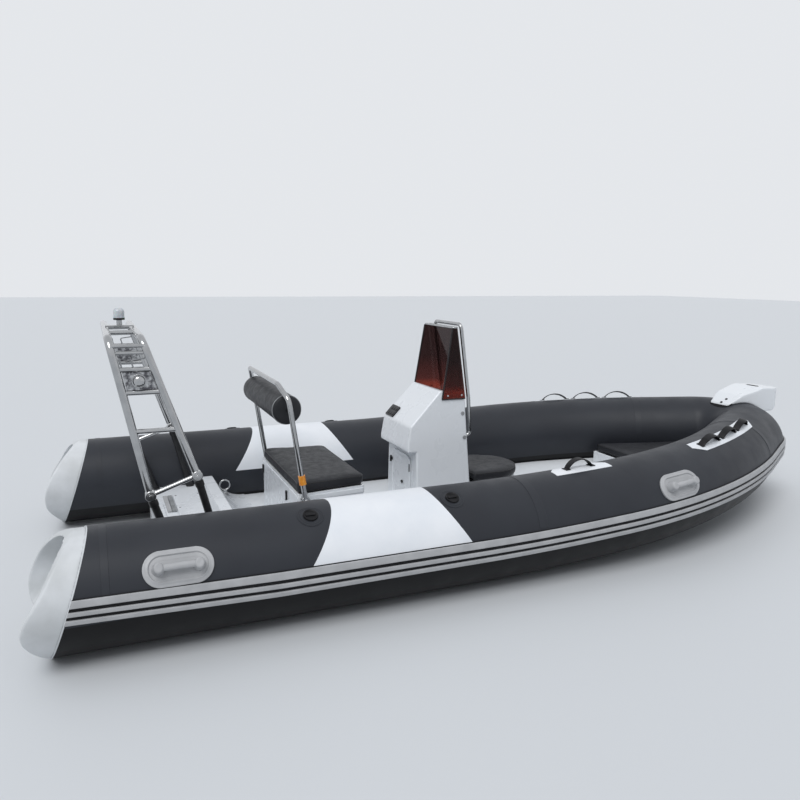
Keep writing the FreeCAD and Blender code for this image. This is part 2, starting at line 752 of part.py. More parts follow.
def deck():
    sections = []
    for x in HULL_STATIONS:
        low = size("deck_height - deck_thick") + deck_rise(x)
        high = size("deck_height") + deck_rise(x)
        wide = hull_half(x, low)
        narrow = hull_half(x, high)
        corners = [V(x, -wide, low), V(x, wide, low), V(x, narrow, high), V(x, -narrow, high)]
        sections.append(Part.makePolygon(corners + corners[:1]))
    return Part.makeLoft(sections, True, True)


HULL = keep("hull", feature("hull", hull()))
DECK = keep("cockpit_deck", feature("cockpit_deck", deck()))


# The stern platform with its coaming and ramp, and the transom board let into its aft edge

def platform_side():
    """The platform from the side, as a face on the centreplane."""
    floor = size("deck_height")
    flat = [(size("transom_x"), floor), (size("transom_x"), size("platform_top")),
            (size("platform_fore"), size("platform_top")), (size("coaming_aft"), size("coaming_top")),
            (size("coaming_fore"), size("coaming_top")), (size("ramp_break_x"), size("ramp_break_z"))]
    flat = [V(x, 0, z) for x, z in flat]
    toe = V(size("ramp_toe_x"), 0, floor + size("ramp_toe"))
    hollow = Part.Arc(flat[-1], V(size("ramp_middle_x"), 0, size("ramp_middle_z")), toe).toShape()
    end = Part.makePolygon([toe, V(toe.x, 0, floor), flat[0]])
    return Part.Face(Part.Wire(Part.makePolygon(flat).Edges + [hollow] + end.Edges))


def stern_platform():
    floor = size("deck_height")
    top = size("platform_top")
    wall = size("platform_wall")
    x_low = size("transom_x")
    x_high = size("ramp_toe_x")
    spread = size("tube_spread")
    solid = platform_side().extrude(V(0, 2 * spread, 0))
    solid.translate(V(0, -spread, 0))
    for side in (-spread, spread):
        beside = V(x_low, side, size("tube_height"))
        solid = solid.cut(Part.makeCylinder(SKIN, x_high - x_low, beside, V(1, 0, 0)))
    kept = 2 * tube_side(x_low, floor)
    solid = max(solid.common(Part.makeBox(x_high, kept, 2 * top, V(0, -kept / 2, 0))).Solids,
                key=lambda item: item.Volume)
    half = size("transom_half")
    notch = Part.makeBox(size("transom_thick + fit"), 2 * half, top, V(x_low, -half, floor))
    half = tube_side(x_low, size("tube_height")) - wall
    inside_aft = x_low + size("transom_thick") + wall
    inside = Part.makeBox(size("coaming_fore") - wall - inside_aft, 2 * half, top - floor - wall,
                          V(inside_aft, -half, floor))
    return solid.cut(notch).cut(inside)


keep("stern_platform", feature("stern_platform", stern_platform()))
transom = block("transom_board", ("transom_x", "transom_x + transom_thick"),
                ("fit - transom_half", "transom_half - fit"), ("deck_height", "platform_top"))
keep("transom_board", transom)


# The stern arch: stubs on the platform, and the folding part above the clamps

ARCH_HALF = size("arch_half")


def leg_points(x_low, z_low, x_high, z_high):
    """A hoop's corners from the starboard foot over the top to the port foot."""
    return [(x_low, -ARCH_HALF, z_low), (x_high, -ARCH_HALF, z_high),
            (x_high, ARCH_HALF, z_high), (x_low, ARCH_HALF, z_low)]


def along_leg(low, high, z):
    share = (z - low[1]) / (high[1] - low[1])
    return low[0] + (high[0] - low[0]) * share


AFT_LOW = (size("clamp_aft_x"), size("clamp_aft_z"))
AFT_HIGH = (size("arch_aft_top"), size("arch_top"))
FORE_LOW = (size("clamp_fore_x"), size("clamp_fore_z"))
FORE_HIGH = (size("arch_fore_top"), size("arch_top"))
CLAMP_HALF = size("clamp_length") / 2
ARCH_BAR = size("arch_radius")
RUNG = size("rung_radius")
PLATE_GAP = 2
FLANGE = 8
FLANGE_EDGE = 7


def barrel(point, radius, half):
    """A short cylinder across the boat about a starboard clamp's centre."""
    return Part.makeCylinder(radius, 2 * half, V(point[0], -ARCH_HALF - half, point[1]), V(0, 1, 0))


def arch_frame():
    parts = []
    for low, high in ((AFT_LOW, AFT_HIGH), (FORE_LOW, FORE_HIGH)):
        leg = swept_round(bent_wire(leg_points(*low, *high), size("arch_bend")), ARCH_BAR)
        seat_round = barrel(low, size("clamp_radius + fit"), 2 * CLAMP_HALF)
        parts.append(leg.cut(seat_round).cut(mirrored(seat_round)))
    heights = [size("plate_low - rung_radius - fit"), size("plate_high + rung_radius + fit")]
    heights.append(heights[0] - size("rung_drop"))
    for z in heights:
        for side in (-ARCH_HALF, ARCH_HALF):
            ends = [(along_leg(AFT_LOW, AFT_HIGH, z), side, z), (along_leg(FORE_LOW, FORE_HIGH, z), side, z)]
            parts.append(bar(ends, RUNG))
    for side in (-ARCH_HALF / 3, ARCH_HALF / 3):
        z = size("arch_top")
        parts.append(bar([(AFT_HIGH[0], side, z), (FORE_HIGH[0], side, z)], RUNG))
    return joined(parts)


def arch_plates():
    low = size("plate_low")
    high = size("plate_high")
    inset = ARCH_BAR + PLATE_GAP
    corners = [
        V(along_leg(AFT_LOW, AFT_HIGH, low) + inset, 0, low),
        V(along_leg(FORE_LOW, FORE_HIGH, low) - inset, 0, low),
        V(along_leg(FORE_LOW, FORE_HIGH, high) - inset, 0, high),
        V(along_leg(AFT_LOW, AFT_HIGH, high) + inset, 0, high),
    ]
    plate = Part.Face(Part.makePolygon(corners + corners[:1])).extrude(V(0, size("plate_thick"), 0))
    plate.translate(V(0, -ARCH_HALF - size("plate_thick") / 2, 0))
    middle = (corners[0] + corners[1] + corners[2] + corners[3]) / 4
    knob = Part.makeCylinder(size("knob_radius"), size("knob_radius"),
                             V(middle.x, -ARCH_HALF, middle.z), V(0, -1, 0))
    return both_sides(joined([plate, knob]))


def arch_feet():
    base = size("platform_top")
    parts = []
    for low, foot in ((AFT_LOW, size("foot_aft_x")), (FORE_LOW, size("foot_fore_x"))):
        side = -ARCH_HALF
        stub = bar([(foot, side, base), (low[0], side, low[1])], ARCH_BAR)
        flange = Part.makeCylinder(ARCH_BAR + FLANGE_EDGE, FLANGE, V(foot, side, base))
        parts += [stub, flange, barrel(low, size("clamp_radius"), CLAMP_HALF)]
    parts.append(bar([(AFT_LOW[0], -ARCH_HALF, AFT_LOW[1]), (FORE_LOW[0], -ARCH_HALF, FORE_LOW[1])], RUNG))
    whole = joined(parts)
    reach = size("ramp_toe_x")
    below = Part.makeBox(reach, 2 * reach, base, V(0, -reach, 0))
    return both_sides(whole.cut(below))


keep("arch_feet", feature("arch_feet", arch_feet()))
keep("arch_frame", feature("arch_frame", arch_frame()))
keep("arch_plates", feature("arch_plates", arch_plates()))


# The stern light on a bracket across the arch's top bars

def light_bracket():
    z = size("arch_top + arch_radius + fit")
    half = size("light_radius")
    plate = Part.makeBox(FORE_HIGH[0] - AFT_HIGH[0], 2 * half, size("plate_thick"), V(AFT_HIGH[0], -half, z))
    post = Part.makeCylinder(half / 2, size("light_post"), V((AFT_HIGH[0] + FORE_HIGH[0]) / 2, 0, z))
    return joined([plate, post])


keep("light_bracket", feature("light_bracket", light_bracket()))
light = document.addObject("Part::Cylinder", "stern_light")
bind(light, Radius="light_radius", Height="light_height")
seat(light, "(arch_aft_top + arch_fore_top) / 2", "0", "arch_top + arch_radius + light_post + 2 * fit")
keep("stern_light", light)


# The helm seat: a hollow box, its lid with the cushion, and the swinging backrest

def seat_outline(aft, fore, half_aft, half_fore, grow):
    return [(f"{aft} - {grow}", f"-1 * ({half_aft} + {grow})"),
            (f"{fore} + {grow}", f"-1 * ({half_fore} + {grow})"),
            (f"{fore} + {grow}", f"{half_fore} + {grow}"), (f"{aft} - {grow}", f"{half_aft} + {grow}")]


HELM = ("helm_aft", "helm_fore", "helm_half_aft", "helm_half_fore")
helm_outer = outline_body("helm_seat_block", "XY_Plane", seat_outline(*HELM, "0"),
                          "deck_height", "helm_top - deck_height")
helm_inner = outline_body("helm_seat_inside", "XY_Plane", seat_outline(*HELM, "-1 * helm_wall"),
                          "deck_height", "helm_top - deck_height")
keep("helm_seat_box", cut("helm_seat_box", helm_outer, helm_inner))
keep("helm_seat_cushion", outline_body("helm_seat_cushion", "XY_Plane", seat_outline(*HELM, "cushion_over"),
                                       "helm_top + fit", "cushion_thick"))


EYE_INSET = 3


def backrest_frame():
    leg = size("helm_half_aft + cushion_over + pivot_gap + rest_radius")
    x_low, z_low = size("pivot_x"), size("pivot_z")
    top_half = size("rest_top_half")
    points = [(x_low, -leg, z_low), (size("rest_bend_x"), -leg, size("rest_bend_z")),
              (size("rest_top_x"), -top_half, size("rest_top_z")),
              (size("rest_top_x"), top_half, size("rest_top_z")),
              (size("rest_bend_x"), leg, size("rest_bend_z")), (x_low, leg, z_low)]
    frame = swept_round(bent_wire(points, size("rest_bend")), size("rest_radius"))
    share = (size("bolster_z") - z_low) / (size("rest_bend_z") - z_low)
    x = x_low + (size("rest_bend_x") - x_low) * share
    inner = size("bolster_half + fit")
    pins = []
    for side in (-1, 1):
        place = V(x, side * leg, size("bolster_z"))
        pins.append(Part.makeCylinder(size("rest_pin"), leg - inner, place, V(0, -side, 0)))
        eye_half = size("rest_radius") - EYE_INSET
        place = V(x_low, side * (leg - eye_half), z_low)
        pins.append(Part.makeCylinder(size("pivot_radius"), 2 * eye_half, place, V(0, side, 0)))
    return joined([frame] + pins), x


FRAME, BOLSTER_X = backrest_frame()
keep("backrest_frame", feature("backrest_frame", FRAME))
BOLSTER = Part.makeCylinder(size("bolster_radius"), 2 * size("bolster_half"),
                            V(BOLSTER_X, -size("bolster_half"), size("bolster_z")), V(0, 1, 0))
keep("backrest_bolster", feature("backrest_bolster", BOLSTER))


def backrest_pivots():
    """Bosses on the seat box's sides that carry the backrest's legs."""
    leg_inner = size("helm_half_aft + cushion_over + pivot_gap")
    length = size("helm_fore - helm_aft")
    taper = size("helm_half_aft - helm_half_fore") / length * size("pivot_x - helm_aft")
    half = size("helm_half_aft") - taper
    sink = size("pivot_gap")
    boss = Part.makeCylinder(size("pivot_radius - fit") - EYE_INSET, leg_inner - size("fit") - half + sink,
                             V(size("pivot_x"), sink - half, size("pivot_z")), V(0, -1, 0))
    corners = [
        V(size("helm_aft"), -size("helm_half_aft"), 0),
        V(size("helm_fore"), -size("helm_half_fore"), 0),
        V(size("helm_fore"), 0, 0),
        V(size("helm_aft"), 0, 0),
    ]
    box = Part.Face(Part.makePolygon(corners + corners[:1])).extrude(V(0, 0, size("helm_top")))
    return both_sides(boss.cut(box))


keep("backrest_pivots", feature("backrest_pivots", backrest_pivots()))


# The console: a hollow moulding with a lip and a sloping dash

def console_side(z):
    """Half the console's width at a height."""
    share = (z - size("deck_height")) / size("dash_high - deck_height")
    return size("console_half") + size("console_top_half - console_half") * share


def console_face(z):
    """The console's fore face at a height."""
    share = (z - size("deck_height")) / size("console_top_fore - deck_height")
    return size("console_fore_low") + size("console_fore_top - console_fore_low") * share


def console_block(inset):
    """The console's outer form, shrunk by an inset on every face but the deck."""
    aft = size("console_aft") + inset
    floor = size("deck_height")
    lip = size("console_lip") + inset
    # each row: x, z and how much of the inset lowers it, or raises it where negative
    side_view = [
        (aft, floor, 0),
        (aft, size("lip_low"), -0.4),
        (lip, size("lip_low"), -0.4),
        (lip, size("lip_high"), 0),
        (size("dash_aft") + inset, size("dash_low"), 0.3),
        (size("dash_fore") + inset * 0.6, size("dash_high"), 1.2),
        (size("console_fore_top") - inset, size("console_top_fore"), 1),
        (size("console_fore_low") - inset, floor, 0),
    ]
    half = size("console_half") - inset
    corners = [V(x, -half, z - lowered * inset) for x, z, lowered in side_view]
    profile = Part.Face(Part.makePolygon(corners + corners[:1])).extrude(V(0, 2 * half, 0))
    top = size("dash_high")
    front = [V(0, half, floor), V(0, console_side(top) - inset, top)]
    front += [V(0, -p.y, p.z) for p in reversed(front)]
    prism = Part.Face(Part.makePolygon(front + front[:1])).extrude(V(2 * size("console_fore_low"), 0, 0))
    return profile.common(prism)


DOOR_HALF = size("door_half")
DOOR_Z = (size("door_low"), size("door_high"))


def console_shell():
    wall = size("console_wall")
    shell = console_block(0).cut(console_block(wall))
    opening = Part.makeBox(4 * wall, 2 * DOOR_HALF, DOOR_Z[1] - DOOR_Z[0],
                           V(size("console_aft") - wall, -DOOR_HALF, DOOR_Z[0]))
    return shell.cut(opening)


keep("console_shell", feature("console_shell", console_shell()))
door = block("console_door", ("console_aft - fit - door_thick", "console_aft - fit"),
             ("-1 * (door_half + door_over)", "door_half + door_over"),
             ("door_low - door_over", "door_high + door_over"))
keep("console_door", door)


def on_dash(share, lift):
    """A point on the dash's slope, from 0 at its lower edge to 1 at its upper edge."""
    low = V(size("dash_aft"), 0, size("dash_low"))
    high = V(size("dash_fore"), 0, size("dash_high"))
    slope = (high - low).normalize()
    off = V(-slope.z, 0, slope.x)
    return low + (high - low) * share + off * lift, slope, off


def switch_panel():
    half = size("panel_half")
    length = size("dash_high - dash_low")
    start, slope, off = on_dash(size("panel_edge") / length, 0)
    end, slope, off = on_dash(size("panel_edge + panel_long") / length, 0)
    middle = size("console_top_half - panel_edge") - half
    corners = [start + V(0, middle - half, 0), end + V(0, middle - half, 0), end + V(0, middle + half, 0),
               start + V(0, middle + half, 0)]
    return Part.Face(Part.makePolygon(corners + corners[:1])).extrude(off * size("panel_stand"))


keep("switch_panel", feature("switch_panel", switch_panel()))


# The smoked windshield round the console's top, and the grab rail before it

def windshield():
    """Three sides round the console's top, open aft, from outside the console up to the top rim."""
    thick = size("screen_thick")

    def ring(aft, fore, half, height):
        outer = [(aft, half), (fore, half), (fore, -half), (aft, -half)]
        inner = [
            (aft, thick - half),
            (fore - thick, thick - half),
            (fore - thick, half - thick),
            (aft, half - thick),
        ]
        corners = [V(x, y, height) for x, y in outer + inner]
        return Part.makePolygon(corners + corners[:1])

    foot = size("screen_low")
    stand = size("fit") + thick
    low = ring(size("screen_aft"), console_face(foot) + stand, console_side(foot) + stand, foot)
    high = ring(size("screen_top_aft"), size("screen_top_fore"), size("screen_top_half"), size("screen_top"))
    return Part.makeLoft([low, high], True, True)


keep("windshield", feature("windshield", windshield()))


def grab_rail():
    half = size("rail_half")
    foot = size("rail_foot")
    stand = size("rail_stand")
    face = console_face(foot - size("rail_radius")) + size("fit")
    shoulder = size("console_top_fore")
    rows = [(face, foot), (face + stand, foot), (console_face(shoulder) + stand, shoulder),
            (size("rail_top_x"), size("rail_top"))]
    points = [(x, -half, z) for x, z in rows] + [(x, half, z) for x, z in reversed(rows)]
    return swept_round(bent_wire(points, size("rail_bend")), size("rail_radius"))


keep("grab_rail", feature("grab_rail", grab_rail()))


# The front seat: its box, its round cushion and the pad on the console's fore face

def round_ended(x_low, x_high, half, depth, z_low, thick):
    shoulder = x_high - depth
    wire = Part.Wire([
        Part.LineSegment(V(x_low, half, z_low), V(x_low, -half, z_low)).toShape(),
        Part.LineSegment(V(x_low, -half, z_low), V(shoulder, -half, z_low)).toShape(),
        Part.Arc(V(shoulder, -half, z_low), V(x_high, 0, z_low), V(shoulder, half, z_low)).toShape(),
        Part.LineSegment(V(shoulder, half, z_low), V(x_low, half, z_low)).toShape(),
    ])
    return Part.Face(wire).extrude(V(0, 0, thick))


WALL = size("helm_wall")


def front_block(gap_aft, inset):
    """The front seat's box, with its aft face ahead of the console by a gap."""
    aft = size("console_fore_low") + gap_aft
    fore, half = size("front_fore") - inset, size("front_half") - inset
    return round_ended(aft, fore, half, size("front_round") - inset,
                       size("deck_height"), size("front_top - deck_height"))


def front_seat_box():
    return front_block(size("fit"), size("front_inset")).cut(front_block(WALL, size("front_inset") + WALL))


keep("front_seat_box", feature("front_seat_box", front_seat_box()))
keep("front_seat_cushion", feature("front_seat_cushion", round_ended(
    size("console_fore_low + front_gap"), size("front_fore"), size("front_half"), size("front_round"),
    size("front_top + fit"), size("cushion_thick"))))


def front_pad():
    low = size("pad_low")
    high = size("pad_high")
    gap = size("fit")
    thick = size("pad_thick")
    half = size("pad_half")
    corners = [V(console_face(low) + gap, -half, low), V(console_face(low) + thick, -half, low),
               V(console_face(high) + thick, -half, high), V(console_face(high) + gap, -half, high)]
    return Part.Face(Part.makePolygon(corners + corners[:1])).extrude(V(0, 2 * half, 0))


keep("front_backrest_pad", feature("front_backrest_pad", front_pad()))


# The bow locker and its cushion

def bow_block(grow, z_low, thick, wall=0):
    aft, fore = size("bow_aft"), size("bow_fore")
    half_aft, half_fore = size("bow_half_aft"), size("bow_half_fore")
    base = size("deck_height")

    def outline(shrink):
        flat = [
            (aft - grow + shrink, -half_aft - grow + shrink),
            (fore + grow - shrink, -half_fore - grow + shrink),
            (fore + grow - shrink, half_fore + grow - shrink),
            (aft - grow + shrink, half_aft + grow - shrink),
        ]
        corners = [V(x, y, base + deck_rise(x) + z_low) for x, y in flat]
        return Part.Face(Part.makePolygon(corners + corners[:1])).extrude(V(0, 0, thick))

    solid = outline(0)
    return solid.cut(outline(wall)) if wall else solid


keep("bow_locker", feature("bow_locker", bow_block(0, 0, size("bow_rise"), WALL)))
bow_cushion = bow_block(4, size("bow_rise + fit"), size("cushion_thick"))
keep("bow_locker_cushion", feature("bow_locker_cushion", bow_cushion))


# The bow cap, a white moulding that sits on the nose of the collar

def bow_cap():
    low, high = size("cap_low"), size("cap_high")
    aft, fore = size("cap_aft"), size("cap_fore")
    half = size("cap_half")
    tall = high - low
    long = fore - aft
    # from the side, each row: share of the length, share of the height
    side_rows = [(0, 0), (0.05, 0.35), (0.24, 0.72), (0.6, 1), (1, 0.93), (0.985, 0.17), (0.89, 0)]
    corners = [V(aft + long * along, -half, low + tall * up) for along, up in side_rows]
    solid = Part.Face(Part.makePolygon(corners + corners[:1])).extrude(V(0, 2 * half, 0))
    # from above, each row: share of the length, share of the half width
    top_rows = [(0, 0.54), (0.2, 0.84), (0.5, 1), (0.84, 0.9), (0.96, 0.7), (1, 0.4)]
    corners = [V(aft + long * along, -half * across, 0) for along, across in top_rows]
    corners += [V(p.x, -p.y, 0) for p in reversed(corners)]
    plan = Part.Face(Part.makePolygon(corners + corners[:1])).extrude(V(0, 0, 2 * high))
    around = swept_round(collar_wire(size("nose_break"), NOSE_X), SKIN)
    trimmed = solid.common(plan).cut(around).cut(mirrored(around))
    return max(trimmed.Solids, key=lambda item: item.Volume)


keep("bow_cap", feature("bow_cap", bow_cap()))


# Eyes: one on the ramp at each side

def eye(x, y):
    """A ring on a round foot that reaches down to the ramp."""
    radius = size("ring_radius")
    floor = size("deck_height")
    height = size("ramp_break_z")
    ring = Part.makeTorus(radius, size("ring_bar"), V(x, y, height + radius), V(0, 1, 0))
    foot = Part.makeCylinder(radius / 2, height + size("ring_bar") - floor, V(x, y, floor))
    ramp = platform_side().extrude(V(0, -2 * size("eye_side"), 0))
    ramp.translate(V(0, 0, size("fit")))
    return max(joined([ring, foot]).cut(ramp).Solids, key=lambda item: item.Volume)


keep("stern_eyes", feature("stern_eyes", both_sides(eye(size("eye_x"), -size("eye_side")))))


# Every object has to be sound before anything is written

document.recompute()
for item in document.Objects:
    state = set(item.State)
    if state & {"Invalid", "Error"}:
        raise RuntimeError(f"{item.Name}: {item.State}")
for name, item in nodes.items():
    shape = item.Shape
    if shape.isNull() or not shape.isValid() or not shape.Solids:
        raise RuntimeError(f"{name} has no sound shape")
os.makedirs("parts", exist_ok=True)
for name, item in nodes.items():
    item.Shape.exportStep(f"parts/{name}.step")
    box = item.Shape.BoundBox
    print(f"{name:28s} {len(item.Shape.Solids)} solids {item.Shape.Volume / 1e6:9.2f} l  "
          f"x {box.XMin:.0f} {box.XMax:.0f}  y {box.YMin:.0f} {box.YMax:.0f}  "
          f"z {box.ZMin:.0f} {box.ZMax:.0f}")
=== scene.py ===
# %% [markdown]
# # An open inflatable boat with a rigid hull
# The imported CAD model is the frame: it holds every size and place. This lesson dresses it. Pieces whose CAD form
# is already right only get a finish, and the others are modelled again here with soft edges, seams and fittings.

# %% Load the frame
import math
import bmesh
import bpy
from mathutils import Euler, Matrix, Vector


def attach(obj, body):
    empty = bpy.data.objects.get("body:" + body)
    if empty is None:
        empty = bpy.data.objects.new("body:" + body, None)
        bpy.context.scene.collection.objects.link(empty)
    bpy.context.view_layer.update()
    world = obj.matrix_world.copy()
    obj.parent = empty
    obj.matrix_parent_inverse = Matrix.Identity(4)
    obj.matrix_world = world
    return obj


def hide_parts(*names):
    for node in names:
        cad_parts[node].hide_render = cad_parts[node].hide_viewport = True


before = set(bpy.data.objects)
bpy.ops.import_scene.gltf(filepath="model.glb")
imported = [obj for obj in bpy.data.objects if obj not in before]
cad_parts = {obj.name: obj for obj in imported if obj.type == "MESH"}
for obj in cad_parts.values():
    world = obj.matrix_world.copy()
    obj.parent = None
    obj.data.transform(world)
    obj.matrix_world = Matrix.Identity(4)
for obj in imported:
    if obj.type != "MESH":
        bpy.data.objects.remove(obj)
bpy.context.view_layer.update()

# %% [markdown]
# ## The camera
# The view was worked out from the boat's own lines: the outline of the tubes, the rub strake and the console. A
# camera is placed by its distance, height and three turns, because a tracked target would lose the slight roll.

# %% Camera at the photograph's angle
camera_data = bpy.data.cameras.new("boat_camera")
camera = bpy.data.objects.new("boat_camera", camera_data)
bpy.context.collection.objects.link(camera)
camera_data.sensor_width = 36
camera_data.lens = 32.34
YAW, PITCH, ROLL = math.radians(23.141), math.radians(9.799), math.radians(0.532)
camera.location = (0.0685, -3.7469, 1.46997)
aim = Euler((math.pi / 2 - PITCH, 0, -YAW)).to_matrix() @ Matrix.Rotation(ROLL, 3, "Z")
camera.rotation_euler = aim.to_euler()
bpy.context.scene.camera = camera
bpy.context.scene.view_settings.view_transform = "Standard"

# %% [markdown]
# ## Floor, backdrop and light
# The floor lies at the boat's waterline, so it hides the lower part of the hull. A large soft sun from above and a
# pale sky, brighter overhead, light the boat. Camera, gloss and glass rays see a plain pale backdrop, while the sky
# that gives the light is weaker, so white surfaces don't clip.

# %% Floor and light
bpy.ops.mesh.primitive_plane_add(size=90, location=(0, 0, 0))
floor = bpy.context.object
floor.name = "studio_floor"
floor_look = bpy.data.materials.new("studio_floor")
floor_look.use_nodes = True
floor_shader = floor_look.node_tree.nodes["Principled BSDF"]
floor_shader.inputs["Base Color"].default_value = (0.60, 0.62, 0.64, 1)
floor_shader.inputs["Roughness"].default_value = 0.55
floor.data.materials.append(floor_look)

world = bpy.data.worlds.new("studio_sky")
bpy.context.scene.world = world
world.use_nodes = True
sky_nodes = world.node_tree.nodes
sky, surface = sky_nodes["Background"], sky_nodes["World Output"].inputs["Surface"]
sky.inputs["Color"].default_value = (0.92, 0.95, 1.0, 1)
heights, rise, spread, backdrop, rays, seen, seen_or_mirrored, shown = (
    sky_nodes.new("ShaderNode" + kind)
    for kind in ("TexCoord", "SeparateXYZ", "MapRange", "Background", "LightPath", "Math", "Math", "MixShader"))
spread.inputs["To Min"].default_value, spread.inputs["To Max"].default_value = 0.38, 0.86
backdrop.inputs["Color"].default_value = (0.78, 0.80, 0.83, 1)
seen.operation = seen_or_mirrored.operation = "MAXIMUM"
for source, target in (
        (heights.outputs["Generated"], rise.inputs[0]), (rise.outputs["Z"], spread.inputs["Value"]),
        (spread.outputs["Result"], sky.inputs["Strength"]), (rays.outputs["Is Camera Ray"], seen.inputs[0]),
        (rays.outputs["Is Transmission Ray"], seen.inputs[1]), (seen.outputs[0], seen_or_mirrored.inputs[0]),
        (rays.outputs["Is Glossy Ray"], seen_or_mirrored.inputs[1]),
        (seen_or_mirrored.outputs[0], shown.inputs["Fac"]), (sky.outputs[0], shown.inputs[1]),
        (backdrop.outputs[0], shown.inputs[2]), (shown.outputs[0], surface)):
    world.node_tree.links.new(source, target)

bpy.ops.object.light_add(type="SUN", rotation=(math.radians(32), math.radians(-14), math.radians(-20)))
sun = bpy.context.object
sun.name = "soft_sun"
sun.data.energy = 1.5
sun.data.angle = math.radians(35)

# %% [markdown]
# ## Small tools for the bench
# Operators act on whatever is selected, so each step starts from nothing selected. Faces and edges are then picked
# by their place and direction, as a hand would pick them with the mouse.

# %% Selecting and naming
def clear():
    """Leaves edit mode and selects nothing."""
    if bpy.context.object and bpy.context.object.mode != "OBJECT":
        bpy.ops.object.mode_set(mode="OBJECT")
    bpy.ops.object.select_all(action="DESELECT")


def take(piece, editing=False):
    """Selects one piece alone and makes it the active one."""
    clear()
    piece.select_set(True)
    bpy.context.view_layer.objects.active = piece
    if editing:
        bpy.ops.object.mode_set(mode="EDIT")
        bpy.ops.mesh.select_all(action="SELECT")
    return piece


def named(name):
    """Names the primitive that was just added."""
    piece = bpy.context.object
    piece.name = name
    piece.data.name = name
    return piece


def settle(piece):
    """Puts a piece's place, turn and scale into its mesh."""
    take(piece)
    bpy.ops.object.transform_apply(location=True, rotation=True, scale=True)
    return piece


def pick(kind, rule):
    """Picks the vertices, edges or faces whose middle and direction a rule accepts."""
    bpy.ops.mesh.select_mode(type=kind)
    bpy.ops.mesh.select_all(action="DESELECT")
    mesh = bmesh.from_edit_mesh(bpy.context.object.data)
    for part in {"VERT": mesh.verts, "EDGE": mesh.edges, "FACE": mesh.faces}[kind]:
        places = [part.co] if kind == "VERT" else [corner.co for corner in part.verts]
        middle = sum(places, Vector()) / len(places)
        direction = (places[1] - places[0]).normalized() if kind == "EDGE" else part.normal
        if rule(middle, direction):
            part.select_set(True)
    mesh.select_flush_mode()
    bmesh.update_edit_mesh(bpy.context.object.data)


def bevel_picked(kind, rule, width, segments):
    """Rounds the picked edges, or the edges of the picked faces."""
    pick(kind, rule)
    bpy.ops.mesh.bevel(offset=width, segments=segments, affect="EDGES")


def step_in(wide, move):
    """Insets the picked faces and moves what is left inside."""
    bpy.ops.mesh.inset(thickness=wide)
    bpy.ops.transform.translate(value=move)


def face_outward():
    """Turns every face of the edited piece outwards."""
    bpy.ops.mesh.select_all(action="SELECT")
    bpy.ops.mesh.normals_make_consistent(inside=False)


# %% [markdown]
# Modifiers are applied at once, as a finished piece has to stand without them. The finish goes on last: its
# material, the body it moves with and the solids it stands for. Each finished piece is printed with its number of
# faces.

# %% Modifiers and finishing
def modify(piece, kind, **settings):
    """Adds one modifier to a piece and applies it."""
    take(piece)
    modifier = piece.modifiers.new(kind, kind)
    for name, value in settings.items():
        setattr(modifier, name, value)
    bpy.ops.object.modifier_apply(modifier=modifier.name)
    return piece


def rounded(piece, width, segments=3, angle=35):
    """Rounds every edge that turns more than an angle."""
    return modify(piece, "BEVEL", width=width, segments=segments, limit_method="ANGLE",
                  angle_limit=math.radians(angle), use_clamp_overlap=True)


def finish(piece, look, body="boat", nodes=(), angle=35):
    """Gives a piece its finish and its body, and hides the solids it stands for."""
    settle(piece)
    piece.data.materials.clear()
    piece.data.materials.append(look)
    bpy.ops.object.shade_smooth_by_angle(angle=math.radians(angle))
    modify(piece, "WEIGHTED_NORMAL", keep_sharp=True)
    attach(piece, body)
    if nodes:
        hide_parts(*nodes)
    print(f"{piece.name}: {len(piece.data.polygons)} faces, rides on {body}")


def twin(piece, name=None):
    """A copy with a mesh of its own."""
    copy = piece.copy()
    copy.data = piece.data.copy()
    copy.name = copy.data.name = name or piece.name
    for key in [key for key in copy.keys() if key.startswith("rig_")]:
        del copy[key]
    copy.parent = None
    bpy.context.collection.objects.link(copy)
    return copy


def other_side(piece, name=None):
    """The mirror image of a piece across the centreplane, facing outwards again."""
    copy = twin(piece, name or piece.name.replace("starboard", "port"))
    copy.data.transform(Matrix.Diagonal((1, -1, 1, 1)))
    copy.data.flip_normals()
    return copy


def finish_sides(piece, look, body="boat", nodes=(), angle=35):
    """Mirrors a starboard piece to port and finishes both. A node's name may hold {side}."""
    for half, side in ((other_side(piece), "port"), (piece, "starboard")):
        finish(half, look, body, [node.format(side=side) for node in nodes], angle)


def melt(piece, voxel, passes):
    """Melts facets together: a fine remesh, then some smoothing."""
    modify(piece, "REMESH", mode="VOXEL", voxel_size=voxel)
    return modify(piece, "SMOOTH", factor=0.5, iterations=passes)


def joined(pieces, name):
    """Several pieces as one."""
    clear()
    for piece in pieces:
        piece.select_set(True)
    bpy.context.view_layer.objects.active = pieces[0]
    bpy.ops.object.join()
    return named(name)


# %% [markdown]
# ## Primitives at their size and place
# A block, a disc and a sheet are the stock the pieces are cut from. Each is added at its own size, then shaped.

# %% Stock
def block(name, low, high):
    """A box between two corners."""
    low, high = Vector(low), Vector(high)
    bpy.ops.mesh.primitive_cube_add(size=1, location=(low + high) / 2)
    piece = named(name)
    piece.scale = high - low
    return settle(piece)


def disc(name, place, toward, radius, height, sides=40):
    """A short cylinder that stands on a place and points a given way."""
    toward = Vector(toward).normalized()
    bpy.ops.mesh.primitive_cylinder_add(vertices=sides, radius=radius, depth=height,
                                        location=Vector(place) + toward * height / 2)
    piece = named(name)
    piece.rotation_euler = toward.to_track_quat("Z", "Y").to_euler()
    return settle(piece)


